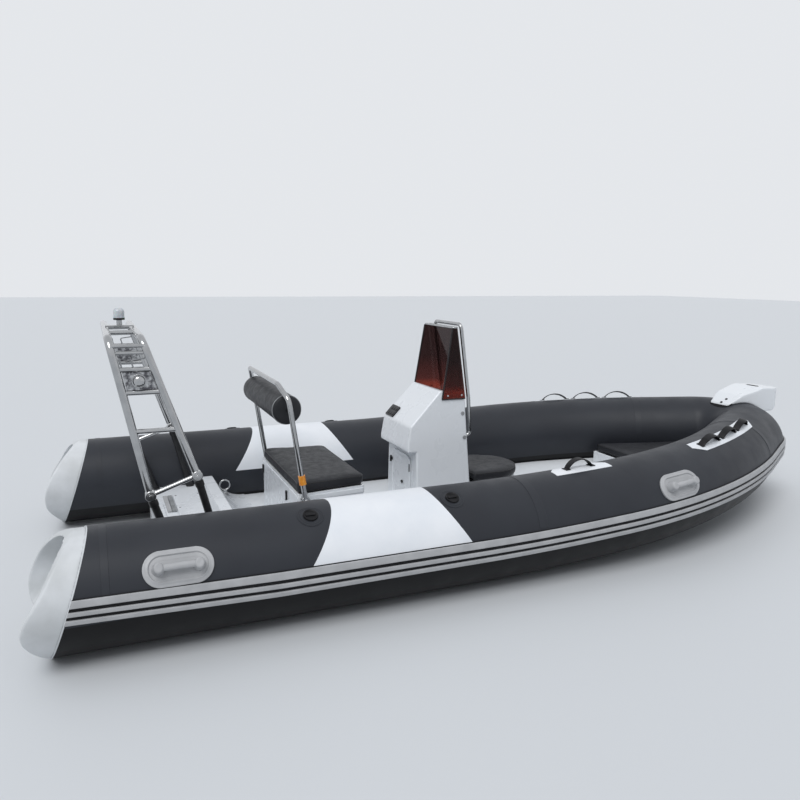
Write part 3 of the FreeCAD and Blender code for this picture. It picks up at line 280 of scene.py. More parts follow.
def from_solid(node, name=None):
    """A copy of a CAD solid with its triangles merged into whole faces."""
    piece = twin(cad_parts[node], name or node)
    take(piece)
    bpy.ops.mesh.customdata_custom_splitnormals_clear()
    take(piece, editing=True)
    bpy.ops.mesh.remove_doubles(threshold=0.00002)
    bpy.ops.mesh.dissolve_limited(angle_limit=math.radians(0.6))
    clear()
    return piece


def bent_bar(name, corners, radius, bend=0.0, sides=8):
    """A round bar through its corners, each inner corner bent on an arc."""
    corners = [Vector(corner) for corner in corners]
    knots = [(corners[0], None, None)]
    for before, corner, after in zip(corners, corners[1:], corners[2:]):
        towards, away = (corner - before).normalized(), (after - corner).normalized()
        turn = towards.angle(away)
        back, reach = bend * math.tan(turn / 2), bend * 4 / 3 * math.tan(turn / 4)
        start, end = corner - towards * back, corner + away * back
        knots += [(start, None, start + towards * reach), (end, end - away * reach, None)]
    knots.append((corners[-1], None, None))
    clear()
    bpy.ops.curve.primitive_bezier_curve_add()
    piece = named(name)
    spline = piece.data.splines[0]
    spline.bezier_points.add(len(knots) - 2)
    for index, (place, left, right) in enumerate(knots):
        point = spline.bezier_points[index]
        point.handle_left_type = point.handle_right_type = "FREE"
        point.co = place
        point.handle_left = left or place.lerp(knots[max(index - 1, 0)][0], 1 / 3)
        point.handle_right = right or place.lerp(knots[min(index + 1, len(knots) - 1)][0], 1 / 3)
    piece.data.bevel_depth = radius
    piece.data.bevel_resolution = sides // 2 + 2
    piece.data.resolution_u = 8
    piece.data.use_fill_caps = True
    piece.location = (0, 0, 0)
    bpy.ops.object.convert(target="MESH")
    return settle(named(name))

# %% [markdown]
# ## Finishes
# Every finish is worked out by nodes from the object's own coordinates, so it has no image and stays put when a
# piece moves. A small kit adds the parts that most of them share: two tones mixed by a noise, a roughness that
# varies, and a bump from a pattern. Values that are the same all over sit on the shader's own sockets.

# %% Kit for finishes
def new_look(name, colour, rough, **sockets):
    """A material with its plain values."""
    look = bpy.data.materials.new(name)
    look.use_nodes = True
    shader = shader_of(look)
    shader.inputs["Base Color"].default_value = (*colour, 1)
    shader.inputs["Roughness"].default_value = rough
    for socket, value in sockets.items():
        shader.inputs[socket.replace("_", " ")].default_value = value
    return look


def shader_of(look):
    """The node that the light meets."""
    return look.node_tree.nodes["Principled BSDF"]


def add_node(look, kind, wired=(), **values):
    """A node with its values, and wires from (output, its own input) pairs."""
    node = look.node_tree.nodes.new("ShaderNode" + kind)
    for name, value in values.items():
        if name.replace("_", " ") in node.inputs:
            node.inputs[name.replace("_", " ")].default_value = value
        else:
            setattr(node, name, value)
    for source, socket in wired:
        look.node_tree.links.new(source, node.inputs[socket])
    return node


def place_of(look, stretch=(1, 1, 1)):
    """The object's own coordinates, stretched where a pattern runs one way."""
    source = add_node(look, "TexCoord")
    return add_node(look, "Mapping", [(source.outputs["Object"], "Vector")], Scale=stretch).outputs[0]


def noise(look, place, scale, detail):
    """A soft noise, from 0 to 1."""
    return add_node(look, "TexNoise", [(place, "Vector")], Scale=scale, Detail=detail).outputs["Fac"]


def two_tones(look, factor, first, second, low=0.35, high=0.65):
    """Mixes two colours by a pattern into the base colour."""
    ramp = add_node(look, "ValToRGB", [(factor, "Fac")])
    ramp.color_ramp.elements[0].position, ramp.color_ramp.elements[1].position = low, high
    ramp.color_ramp.elements[0].color, ramp.color_ramp.elements[1].color = (*first, 1), (*second, 1)
    look.node_tree.links.new(ramp.outputs["Color"], shader_of(look).inputs["Base Color"])
    return ramp.outputs["Color"]


def vary_rough(look, factor, low, high):
    """Lets the roughness vary with a pattern."""
    spread = add_node(look, "MapRange", [(factor, "Value")], From_Min=0.3, From_Max=0.7, To_Min=low, To_Max=high)
    look.node_tree.links.new(spread.outputs["Result"], shader_of(look).inputs["Roughness"])


def bump(look, height, strength, depth):
    """Raises the surface by a pattern."""
    made = add_node(look, "Bump", [(height, "Height")], Strength=strength, Distance=depth)
    look.node_tree.links.new(made.outputs["Normal"], shader_of(look).inputs["Normal"])


def patterned(name, colour, rough, tones, uneven=None, grain=None, **sockets):
    """Two tones mixed by a noise, with an uneven roughness and a grain, each led by its noise's scale and detail."""
    look = new_look(name, colour, rough, **sockets)
    place = place_of(look)
    scale, detail, *mixed = tones
    two_tones(look, noise(look, place, scale, detail), *mixed)
    for pattern, use in ((uneven, vary_rough), (grain, bump)):
        if pattern:
            scale, detail, *amounts = pattern
            use(look, noise(look, place, scale, detail), *amounts)
    return look


# %% [markdown]
# The collar is coated fabric: charcoal, satin, with a fine grain and a soft unevenness. Below the rub strake it is
# painted black, as painted shade for the shadow under the tube. The fabric's own map says how far round the tube a
# point is, so the painted shade follows the tube.

# %% Collar fabric
# The near-black colour below the strake is painted shade, standing in for the shadow under the tube.
CHARCOAL, CHARCOAL_LIGHT, UNDERSIDE_SHADE = (0.023, 0.025, 0.031), (0.029, 0.032, 0.039), (0.003, 0.003, 0.004)
SHADE_FROM, SHADE_TO = (180 - 150) / 360, (180 - 11) / 360
MIX_FIRST, MIX_SECOND = 6, 7
collar_fabric = patterned("collar_fabric", CHARCOAL, 0.46, (2.2, 4, CHARCOAL, CHARCOAL_LIGHT), (9, 4, 0.40, 0.52),
                          (700, 2, 0.25, 0.0006), Specular_IOR_Level=0.26)
base_colour = shader_of(collar_fabric).inputs["Base Color"]
tone = base_colour.links[0].from_socket
# The mask of the painted shade: the way round the tube, between two angles below the strake.
around = add_node(collar_fabric, "UVMap", uv_map="UVMap")
split = add_node(collar_fabric, "SeparateXYZ", [(around.outputs["UV"], "Vector")])
past = add_node(collar_fabric, "Math", [(split.outputs["Y"], 0)], operation="GREATER_THAN")
past.inputs[1].default_value = SHADE_FROM
short = add_node(collar_fabric, "Math", [(split.outputs["Y"], 0)], operation="LESS_THAN")
short.inputs[1].default_value = SHADE_TO
in_painted_shade = add_node(collar_fabric, "Math", [(past.outputs[0], 0), (short.outputs[0], 1)], operation="MULTIPLY")
shade_mixed = add_node(collar_fabric, "Mix", [(in_painted_shade.outputs[0], "Factor")], data_type="RGBA")
shade_mixed.inputs[MIX_SECOND].default_value = (*UNDERSIDE_SHADE, 1)
collar_fabric.node_tree.links.new(tone, shade_mixed.inputs[MIX_FIRST])
collar_fabric.node_tree.links.new(shade_mixed.outputs[2], base_colour)

# %% [markdown]
# The same fabric in plain charcoal and white serves tapes, panels and patches. Rubber mouldings are light grey and
# a little mottled, or black. The white gel coat is smooth and glossy, and hardly varies.

# %% Other fabric, rubber and gel coat
tape_fabric = patterned("tape_fabric", CHARCOAL, 0.42, (3, 4, CHARCOAL, CHARCOAL_LIGHT),
                        grain=(700, 2, 0.25, 0.0006), Specular_IOR_Level=0.28)
white_fabric = patterned("white_fabric", (0.74, 0.77, 0.80), 0.42, (5, 4, (0.71, 0.74, 0.78), (0.78, 0.80, 0.83)),
                         grain=(620, 2, 0.2, 0.0006), Sheen_Weight=0.08)
grey_rubber = patterned("grey_rubber", (0.39, 0.395, 0.405), 0.5,
                        (14, 6, (0.36, 0.365, 0.375), (0.42, 0.425, 0.435)),
                        (30, 4, 0.42, 0.58), (450, 3, 0.22, 0.0006))
cone_rubber = patterned("cone_rubber", (0.60, 0.62, 0.63), 0.42, (6, 6, (0.52, 0.54, 0.55), (0.66, 0.68, 0.70)),
                        (18, 4, 0.34, 0.5), (380, 3, 0.18, 0.0006))
black_rubber = patterned("black_rubber", (0.010, 0.010, 0.011), 0.5,
                         (25, 4, (0.007, 0.007, 0.008), (0.016, 0.016, 0.018)),
                         grain=(500, 2, 0.3, 0.0006), Specular_IOR_Level=0.18)
gel_coat = patterned("gel_coat", (0.74, 0.77, 0.80), 0.26, (2.0, 3, (0.732, 0.76, 0.792), (0.748, 0.774, 0.803)),
                     (8, 3, 0.26, 0.3), (5, 1, 0.02, 0.0006), Coat_Weight=0.25, Coat_Roughness=0.12)

# %% [markdown]
# The deck has the same gel coat with a moulded tread, so that wet feet don't slip: small round studs, made by a
# cell pattern whose height rises towards each cell's middle.

# %% Deck tread
deck_tread = patterned("deck_tread", (0.70, 0.73, 0.76), 0.5, (3, 4, (0.69, 0.715, 0.74), (0.735, 0.76, 0.785)))
studs = add_node(deck_tread, "TexVoronoi", [(place_of(deck_tread), "Vector")], Scale=75.0, Randomness=0.15)
stud_height = add_node(deck_tread, "MapRange", [(studs.outputs["Distance"], "Value")],
                       From_Min=0.25, From_Max=0.45, To_Min=1.0, To_Max=0.0)
bump(deck_tread, stud_height.outputs["Result"], 0.3, 0.001)

# %% [markdown]
# Polished stainless tube mirrors its surroundings through fine lengthwise scratches. The arch's side plates are
# darker and mottled. The lamp is frosted, the cushions are grained vinyl, and the windshield is smoked acrylic.
# The screen's tint is painted light: brighter red-orange towards the bottom, for the lit white console seen through it.

# %% Metal, vinyl, plastic and acrylic
stainless = patterned("stainless", (0.60, 0.60, 0.61), 0.16, (22, 3, (0.40, 0.405, 0.41), (0.46, 0.465, 0.47)),
                      (60, 5, 0.08, 0.18), Metallic=1.0)
bump(stainless, noise(stainless, place_of(stainless, (1, 1, 0.2)), 300, 2), 0.08, 0.0004)
mottled_steel = patterned("mottled_steel", (0.30, 0.31, 0.32), 0.3,
                          (55, 7, (0.10, 0.10, 0.11), (0.52, 0.53, 0.54), 0.4, 0.62),
                          (80, 4, 0.22, 0.5), (90, 4, 0.25, 0.001), Metallic=0.9)
frosted_dome = patterned("frosted_dome", (0.50, 0.54, 0.57), 0.38, (45, 5, (0.42, 0.46, 0.49), (0.60, 0.64, 0.67)),
                         grain=(260, 2, 0.2, 0.0005), Subsurface_Weight=0.15, Coat_Weight=0.3)
vinyl = patterned("grained_vinyl", (0.017, 0.018, 0.021), 0.5,
                  (7, 5, (0.014, 0.015, 0.018), (0.021, 0.022, 0.026)), (30, 4, 0.42, 0.58), Specular_IOR_Level=0.3)
grain = add_node(vinyl, "TexVoronoi", [(place_of(vinyl), "Vector")], Scale=420.0)
bump(vinyl, grain.outputs["Distance"], 0.45, 0.0006)
piping = patterned("grey_piping", (0.26, 0.27, 0.28), 0.45, (40, 3, (0.22, 0.23, 0.24), (0.31, 0.32, 0.33)),
                   grain=(600, 2, 0.2, 0.0004))
black_plastic = patterned("black_plastic", (0.012, 0.012, 0.014), 0.36,
                          (30, 4, (0.009, 0.009, 0.010), (0.018, 0.018, 0.020)),
                          grain=(800, 2, 0.25, 0.0004), Specular_IOR_Level=0.35)
orange_plastic = patterned("orange_plastic", (0.80, 0.30, 0.02), 0.38, (60, 5, (0.70, 0.22, 0.015), (0.88, 0.38, 0.04)),
                           grain=(200, 2, 0.15, 0.0006), Coat_Weight=0.2)
grey_plastic = patterned("grey_plastic", (0.24, 0.25, 0.26), 0.45, (24, 4, (0.20, 0.21, 0.22), (0.29, 0.30, 0.31)),
                         grain=(500, 2, 0.2, 0.0005))

smoked = new_look("smoked_acrylic", (0.10, 0.03, 0.025), 0.06, Transmission_Weight=0.75, IOR=1.2,
                  Specular_IOR_Level=0.7)
place = place_of(smoked)
# Painted light: the tint runs from a bright red-orange low on the screen, standing in for the lit white console seen
# through it, to dark smoke higher up.
height = add_node(smoked, "SeparateXYZ", [(place, "Vector")])
painted_light_fade = add_node(smoked, "MapRange", [(height.outputs["Z"], "Value")], From_Min=0.79, From_Max=1.0)
painted_light_tint = two_tones(smoked, painted_light_fade.outputs["Result"], (0.32, 0.066, 0.045), (0.05, 0.026, 0.025), 0.15, 1.0)
painted_light_tint.node.color_ramp.elements.new(0.32).color = (0.13, 0.042, 0.037, 1)
vary_rough(smoked, noise(smoked, place, 25, 3), 0.04, 0.1)
print("finishes:", len(bpy.data.materials))

# %% [markdown]
# ## The collar's axis
# Each tube runs straight from the stern, lifts gently, turns in and closes round the nose. A place on it is named
# by its run, the distance along the axis from x = 0, as a fitter would measure it with a tape. Everything on the
# collar is cut flat on the bench, with x as the run, y as the way round and z as the height over the fabric, and
# is then wrapped on. A curve modifier would bend it as well, but it can't also roll it round the tube.

# %% The axis and the wrap
TUBE = 0.24
SPREAD, AXIS_HEIGHT = 0.825, 0.25
LIFT_X, TURN_X = 1.6, 2.4
SHEER, SHEER_RADIUS = math.radians(3), 14.0
TURN, TURN_RADIUS, NOSE_RADIUS = math.radians(31), 2.8, 0.3
RUN_LEVEL = LIFT_X + SHEER * SHEER_RADIUS
LEVEL = Vector((LIFT_X + SHEER_RADIUS * math.sin(SHEER), -SPREAD, AXIS_HEIGHT + SHEER_RADIUS * (1 - math.cos(SHEER))))
AHEAD = Vector((math.cos(SHEER), 0, math.sin(SHEER)))
INWARD = Vector((0, 1, 0))
RUN_TURN = RUN_LEVEL + (TURN_X - LEVEL.x) / math.cos(SHEER)
TURN_PLACE = LEVEL + AHEAD * (RUN_TURN - RUN_LEVEL)
RUN_TURNED = RUN_TURN + TURN * TURN_RADIUS


def on_arc(origin, radius, first, angle):
    """A place on the level arc that turns from a first heading by an angle."""
    return (origin + AHEAD * radius * (math.sin(first + angle) - math.sin(first))
            + INWARD * radius * (math.cos(first) - math.cos(first + angle)))


TURNED = on_arc(TURN_PLACE, TURN_RADIUS, 0, TURN)
RUN_NOSE = RUN_TURNED + (-TURNED.y - NOSE_RADIUS * math.cos(TURN)) / math.sin(TURN)
NOSE_PLACE = TURNED + (AHEAD * math.cos(TURN) + INWARD * math.sin(TURN)) * (RUN_NOSE - RUN_TURNED)
RUN_TIP = RUN_NOSE + (math.pi / 2 - TURN) * NOSE_RADIUS


def axis_at(run):
    """The place on the starboard axis at a run, with the directions outward and up from it."""
    heading = 0.0
    if run <= LIFT_X:
        return Vector((run, -SPREAD, AXIS_HEIGHT)), Vector((0, -1, 0)), Vector((0, 0, 1))
    if run <= RUN_LEVEL:
        climb = (run - LIFT_X) / SHEER_RADIUS
        place = Vector((LIFT_X + SHEER_RADIUS * math.sin(climb), -SPREAD,
                        AXIS_HEIGHT + SHEER_RADIUS * (1 - math.cos(climb))))
        return place, Vector((0, -1, 0)), Vector((-math.sin(climb), 0, math.cos(climb)))
    if run <= RUN_TURN:
        place = LEVEL + AHEAD * (run - RUN_LEVEL)
    elif run <= RUN_TURNED:
        heading = (run - RUN_TURN) / TURN_RADIUS
        place = on_arc(TURN_PLACE, TURN_RADIUS, 0, heading)
    elif run <= RUN_NOSE:
        heading = TURN
        place = TURNED + (NOSE_PLACE - TURNED).normalized() * (run - RUN_TURNED)
    else:
        heading = TURN + (run - RUN_NOSE) / NOSE_RADIUS
        place = on_arc(NOSE_PLACE, NOSE_RADIUS, TURN, heading - TURN)
    along = AHEAD * math.cos(heading) + INWARD * math.sin(heading)
    outward = along.cross(Vector((0, 0, 1))).normalized()
    return place, outward, outward.cross(along).normalized()


def run_at(x):
    """The run at which the axis passes an x."""
    low, high = -0.3, RUN_TIP
    for _ in range(50):
        middle = (low + high) / 2
        low, high = (middle, high) if axis_at(middle)[0].x < x else (low, middle)
    return low


def wrap(piece):
    """Rolls a flat piece round the starboard tube and bends it along the axis."""
    settle(piece)
    for vertex in piece.data.vertices:
        run, way, lift = vertex.co
        place, outward, up = axis_at(run)
        angle = way / TUBE
        vertex.co = place + (outward * math.cos(angle) + up * math.sin(angle)) * (TUBE + lift)
    piece.data.update()
    return piece


print("axis length", round(RUN_TIP, 4), "tip", [round(value, 4) for value in axis_at(RUN_TIP)[0]])

# %% [markdown]
# A flat sheet is a grid with enough rows to bend. A thick piece of any outline is sliced across instead, because a
# face has to have corners wherever it is going to bend.

# %% Sheets and slices for the collar
def degrees(angle):
    """The way round the tube for an angle, from 0 on its outer side."""
    return math.radians(angle) * TUBE


def flat_sheet(name, run_from, run_to, low, high, along, across):
    """A flat sheet between two runs and two angles."""
    bottom, top = degrees(low), degrees(high)
    bpy.ops.mesh.primitive_grid_add(x_subdivisions=along, y_subdivisions=across, size=1,
                                    location=((run_from + run_to) / 2, (bottom + top) / 2, 0))
    piece = named(name)
    piece.scale = (run_to - run_from, top - bottom, 1)
    return settle(piece)


GLUE = 0.0003


def slab(name, run_from, run_to, low, high, thick, along, across, lift=GLUE):
    """A sheet with a thickness that stands off the fabric."""
    piece = flat_sheet(name, run_from, run_to, low, high, along, across)
    modify(piece, "SOLIDIFY", thickness=thick, offset=1)
    piece.data.transform(Matrix.Translation((0, 0, lift)))
    return piece


def slice_up(piece, step, axis=0):
    """Cuts a piece across at even steps, without parting it."""
    take(piece, editing=True)
    places = [vertex.co[axis] for vertex in bmesh.from_edit_mesh(piece.data).verts]
    low, high = min(places), max(places)
    count = math.ceil((high - low) / step)
    for cut in range(1, count):
        place, normal = Vector(), Vector()
        place[axis], normal[axis] = low + (high - low) * cut / count, 1
        bpy.ops.mesh.select_all(action="SELECT")
        bpy.ops.mesh.bisect(plane_co=place, plane_no=normal)
    clear()
    return piece


def cut_away(piece, place, normal, fill=True):
    """Removes what lies ahead of a plane."""
    take(piece, editing=True)
    bpy.ops.mesh.bisect(plane_co=place, plane_no=normal, use_fill=fill, clear_outer=True)
    clear()
    return piece


# %% [markdown]
# ## The air collar
# The real collar is fabric cut flat and glued into tubes, so each chamber is a sheet rolled into a tube. Its map
# keeps the flat cut, which is what the fabric's finish reads. The stern chambers are cut along the slanted seam
# where the end cones begin. The ends are closed, as each chamber is a bag.

# %% Five chambers
STERN_END, ROUND_THE_TUBE = -0.2, 112
SEAM_PLACE, SEAM_LEAN = (-0.079, 0, AXIS_HEIGHT), math.radians(18.2)
SEAM_AFTWARD = (-math.cos(SEAM_LEAN), 0, math.sin(SEAM_LEAN))
AFT_JOINT, FORE_JOINT = run_at(1.96), run_at(3.78)
CHAMBERS = {"stern": (STERN_END, AFT_JOINT, 0.04), "forward": (AFT_JOINT, FORE_JOINT, 0.04),
            "nose": (FORE_JOINT, RUN_TIP, 0.02)}


def chamber(part):
    """A starboard chamber, its rows as long as the table says."""
    run_from, run_to, row = CHAMBERS[part]
    rows = math.ceil((run_to - run_from) / row)
    piece = wrap(flat_sheet(f"{part}_tube_starboard", run_from, run_to, -180, 180, rows, ROUND_THE_TUBE))
    if part == "stern":
        cut_away(piece, SEAM_PLACE, SEAM_AFTWARD, fill=False)
    return welded(piece, 0.0001)


def welded(piece, near):
    """Merges the vertices that meet at a seam."""
    take(piece, editing=True)
    bpy.ops.mesh.remove_doubles(threshold=near)
    clear()
    return piece


def close_ends(piece):
    """Closes a tube's open ends with a face each."""
    take(piece, editing=True)
    bpy.ops.mesh.fill_holes(sides=0)
    bpy.ops.mesh.normals_make_consistent(inside=False)
    clear()
    return piece


for part in ("stern", "forward"):
    tube = close_ends(chamber(part))
    finish_sides(tube, collar_fabric, nodes=[f"collar_{part}_" + "{side}"], angle=40)
half = chamber("nose")
whole = close_ends(welded(joined([half, other_side(half)], "nose_tube"), 0.0003))
finish(whole, collar_fabric, nodes=["collar_nose"], angle=40)

# %% [markdown]
# Where two lengths of fabric meet, a tape covers the joint. It is barely thicker than a coin's edge, but it
# catches the light, and the photograph shows one just ahead of the stern cone.

# %% Joint tapes
TAPES = [(0.055, 0.028), (AFT_JOINT, 0.045), (FORE_JOINT, 0.045)]
tapes = []
for index, (run, wide) in enumerate(TAPES):
    tape = slab(f"tape_{index}_starboard", run - wide / 2, run + wide / 2, 14, 178, 0.0011, 4, 90)
    rounded(tape, 0.0004, segments=1, angle=60)
    wrap(tape)
    tapes += [tape, other_side(tape)]
finish(joined(tapes, "collar_tapes"), tape_fabric, angle=40)

# %% [markdown]
# ## The rub strake
# A black rubber base strip is glued round the whole collar, and three light grey bands stand on it. One band is cut
# flat at its real section, its long edges are rounded, and it is wrapped on. Towards the stern it climbs and
# narrows a little, as in the photograph. The port half mirrors the starboard half, and they are welded at the nose.

# %% Base strip and bands
STRAKE_LOW, STRAKE_HIGH = -14, 12
BASE_THICK, BAND_HEIGHT = 0.004, 0.008
BAND_ANGLES, BAND_GAP = (7.4, 4.4, 4.8), 3.6
STRAKE_STEPS = 150
STERN_FROM, STERN_LONG, STERN_CLIMB, STERN_NARROW = 0.7, 0.9, 0.013, 0.14


def round_the_collar(name, low, high, thick, lift, edge):
    """A strip from one stern seam round the nose to the other."""
    strip = slab(name, STERN_END, RUN_TIP, low, high, thick, STRAKE_STEPS, 4, lift)
    take(strip, editing=True)
    bevel_picked("EDGE", lambda place, way: abs(way.x) > 0.9 and place.z > lift + thick / 2
                 and min(abs(place.y - degrees(low)), abs(place.y - degrees(high))) < 0.0005, edge, 3)
    clear()
    for vertex in strip.data.vertices:
        share = min(1, max(0, (STERN_FROM - vertex.co.x) / STERN_LONG))
        under_top = degrees(STRAKE_HIGH) - vertex.co.y
        vertex.co.y += share * (STERN_CLIMB + STERN_NARROW * under_top)
    cut_away(wrap(strip), SEAM_PLACE, SEAM_AFTWARD)
    strip = joined([strip, other_side(strip)], name)
    take(strip, editing=True)
    pick("FACE", lambda place, facing: abs(place.y) < 0.0005 and abs(facing.y) > 0.9)
    bpy.ops.mesh.delete(type="FACE")
    bpy.ops.mesh.select_all(action="SELECT")
    bpy.ops.mesh.remove_doubles(threshold=0.0004)
    face_outward()
    clear()
    return strip


base = round_the_collar("strake_strip", STRAKE_LOW, STRAKE_HIGH, BASE_THICK, GLUE, 0.001)
finish(base, black_rubber, nodes=["rub_strake_base"])
bands, top = [], STRAKE_HIGH - 1
for height in BAND_ANGLES:
    bands.append(round_the_collar("band", top - height, top, BAND_HEIGHT, BASE_THICK + GLUE, 0.003))
    top -= height + BAND_GAP
finish(joined(bands, "strake_bands"), grey_rubber, nodes=["rub_strake_bands"])

# %% [markdown]
# ## Saddle panels
# A white panel of coated fabric lies over each tube beside the helm. It is wrapped on as a sheet, and then both
# ends are cut along the slanted lines that the photograph shows.

# %% White saddle panels
PANEL_LOW, PANEL_INNER = 12.07, 173
PANEL_AFT, PANEL_FORE = (0.805, 0.975), (1.610, 1.448)
panel = slab("white_saddle_starboard", 0.78, 1.64, PANEL_LOW, PANEL_INNER, 0.002, 40, 80)
wrap(panel)
for (low_x, high_x), side in ((PANEL_AFT, -1), (PANEL_FORE, 1)):
    cut_away(panel, (low_x, 0, AXIS_HEIGHT), Vector((TUBE, 0, low_x - high_x)) * side)
finish_sides(panel, white_fabric, nodes=["saddle_panel_{side}"], angle=40)

# %% [markdown]
# ## End cones
# Each tube ends in a moulded rubber cone: the tube's own cylinder, rounded down aft and hollowed at a slant. Three
# rough shapes are cut from each other, and a fine remesh then melts them into one skin with the soft edges of a
# moulding, which bevels can't follow where a slanted hollow meets a curved outline. The rim is cut back on its outer
# side, so the hollow shows from the side as it does in the photograph.

# %% Stern cones
CONE_OUTLINE = [(-0.045, 0.490), (-0.100, 0.455), (-0.145, 0.411), (-0.190, 0.347), (-0.222, 0.275),
                (-0.236, 0.215), (-0.230, 0.155), (-0.211, 0.118), (-0.162, 0.050)]
CONE_WALL, HOLLOW_X, HOLLOW_LEAN = 0.026, -0.145, math.radians(33)
MOULDED = 0.0045
TOE_OUT, TOE_FROM, TOE_LONG, TOE_CURVE = 0.045, 0.20, 0.14, 1.5


def through(rows, steps=5):
    """Places along the curves that pass each three rows, the last row shared with the next curve."""
    places = []
    for first, middle, last in zip(rows[::2], rows[1::2], rows[2::2]):
        for step in range(steps):
            way = 2 * step / steps
            shares = ((way - 1) * (way - 2) / 2, way * (2 - way), way * (way - 1) / 2)
            places.append(tuple(sum(share * row[axis] for share, row in zip(shares, (first, middle, last)))
                                for axis in (0, 1)))
    return places + [rows[-1]]


def cylinder_on_axis(name, radius):
    """A cylinder as long as the cone's part of the tube, on the starboard axis."""
    return disc(name, (-0.4, -SPREAD, AXIS_HEIGHT), (1, 0, 0), radius, 0.5, sides=160)


def drawn_plate(name, places, toward):
    """A face drawn corner by corner, extruded into a plate."""
    bpy.ops.mesh.primitive_circle_add(vertices=len(places), radius=1, location=(0, 0, 0), fill_type="NGON")
    piece = named(name)
    for vertex, place in zip(piece.data.vertices, places):
        vertex.co = place
    take(piece, editing=True)
    bpy.ops.mesh.extrude_region_move(TRANSFORM_OT_translate={"value": toward})
    face_outward()
    clear()
    return piece


def side_plate(name, places, y_from, y_to):
    """A plate with an outline drawn from the side, between two y."""
    return drawn_plate(name, [(x, y_from, z) for x, z in places], (0, y_to - y_from, 0))


def combine(piece, tool, how):
    """Cuts a piece by a tool, or joins them, and clears the tool away."""
    modify(piece, "BOOLEAN", object=tool, operation=how, solver="EXACT")
    bpy.data.objects.remove(tool)
    return piece


cone = cylinder_on_axis("end_moulding_starboard", TUBE - 0.001)
cut_away(cone, SEAM_PLACE, [-value for value in SEAM_AFTWARD])
side_places = [*through(CONE_OUTLINE), (-0.162, -0.1), (0.2, -0.1), (0.2, 0.6), (-0.045, 0.6)]
outline = side_plate("cone_outline", side_places, -SPREAD - 0.4, -SPREAD + 0.4)
slice_up(outline, 0.02, axis=1)
for vertex in outline.data.vertices:
    outward = min(1, max(0, -SPREAD - vertex.co.y) / TUBE) ** TOE_CURVE
    vertex.co.x += TOE_OUT * outward * min(1, max(0, (vertex.co.z - TOE_FROM) / TOE_LONG))
combine(cone, outline, "INTERSECT")
hollow = cylinder_on_axis("cone_hollow", TUBE - CONE_WALL)
cut_away(hollow, (HOLLOW_X, 0, AXIS_HEIGHT), (math.cos(HOLLOW_LEAN), 0, -math.sin(HOLLOW_LEAN)))
combine(cone, hollow, "DIFFERENCE")
melt(cone, MOULDED, 5)
finish_sides(cone, cone_rubber, nodes=["end_cone_{side}"], angle=60)

# %% [markdown]
# A thin bead closes the joint between the cone and the tube. It follows the slanted seam, so it is a ring whose
# places are found on the tube and moved along it to the seam.

# %% Seam beads
bpy.ops.mesh.primitive_torus_add(major_radius=TUBE, minor_radius=0.003, major_segments=128, minor_segments=8,
                                 location=(0, -SPREAD, AXIS_HEIGHT), rotation=(0, math.pi / 2, 0))
bead = settle(named("seam_bead_starboard"))
for vertex in bead.data.vertices:
    vertex.co.x += SEAM_PLACE[0] + (vertex.co.z - AXIS_HEIGHT) * math.tan(SEAM_LEAN)
finish_sides(bead, cone_rubber)

# %% [markdown]
# ## Lifting handles
# A handle is one grey rubber moulding: a long oval base with a raised lip, a dished middle, and a bar grip between
# two round bosses. It is modelled once, flat, as four simple solids sliced to bend, and each copy is wrapped on.

# %% Lifting handles
HANDLE_LONG, HANDLE_HALF, HANDLE_ANGLE = 0.265, 0.0695, 29.6
GRIP_REACH, GRIP_RADIUS, BOSS_RADIUS = 0.075, 0.0115, 0.019


def oval(name, long, half, height, edge, sides=64):
    """A long disc with half round ends, lying on the bench, its upper edge rounded."""
    bpy.ops.mesh.primitive_circle_add(vertices=sides, radius=half, fill_type="NGON")
    piece = named(name)
    take(piece, editing=True)
    for side in (-1, 1):
        pick("VERT", lambda place, facing: place.x * side > 0.0001)
        bpy.ops.transform.translate(value=(side * (long / 2 - half), 0, 0))
    bpy.ops.mesh.select_all(action="SELECT")
    bpy.ops.mesh.extrude_region_move(TRANSFORM_OT_translate={"value": (0, 0, height)})
    face_outward()
    bevel_picked("FACE", lambda place, facing: facing.z > 0.9, edge, 3)
    clear()
    return piece


def dish(piece, steps):
    """Insets the upper face and moves it, once for each (width, depth)."""
    take(piece, editing=True)
    pick("FACE", lambda place, facing: facing.z > 0.9 and place.length < 0.02)
    for wide, deep in steps:
        step_in(wide, (0, 0, deep))
    clear()
    return piece


handle = oval("handle_base", HANDLE_LONG, HANDLE_HALF, 0.009, 0.003)
dish(handle, [(0.010, 0), (0.003, 0.002), (0.004, 0), (0.004, -0.005), (0.014, 0), (0.002, -0.001)])
slice_up(handle, 0.012)
slice_up(handle, 0.010, axis=1)
grip = bent_bar("handle_grip", [(-GRIP_REACH, 0, 0.034), (GRIP_REACH, 0, 0.034)], GRIP_RADIUS)
slice_up(grip, 0.02)
moulding = [handle, grip]
for end in (-GRIP_REACH, GRIP_REACH):
    boss = disc("handle_boss", (end, 0, 0.004), (0, 0, 1), BOSS_RADIUS, 0.046, sides=28)
    take(boss, editing=True)
    bevel_picked("FACE", lambda place, facing: facing.z > 0.9, 0.009, 4)
    pick("FACE", lambda place, facing: facing.z < -0.9)
    bpy.ops.transform.resize(value=(1.35, 1.35, 1))
    clear()
    moulding.append(boss)
handle = joined(moulding, "handle_moulding")
for place_name, run in (("aft", 0.316), ("fore", run_at(2.804))):
    copy = twin(handle, f"handle_{place_name}_starboard")
    copy.data.transform(Matrix.Translation((run, degrees(HANDLE_ANGLE), GLUE)))
    finish_sides(wrap(copy), grey_rubber, nodes=["lifting_handles"], angle=40)
bpy.data.objects.remove(handle)

# %% [markdown]
# ## Air valves
# A valve sits in a round fabric patch with two faint ridges. Its cap is black, with a rounded rim, a sunken face and
# a bar to turn it by.

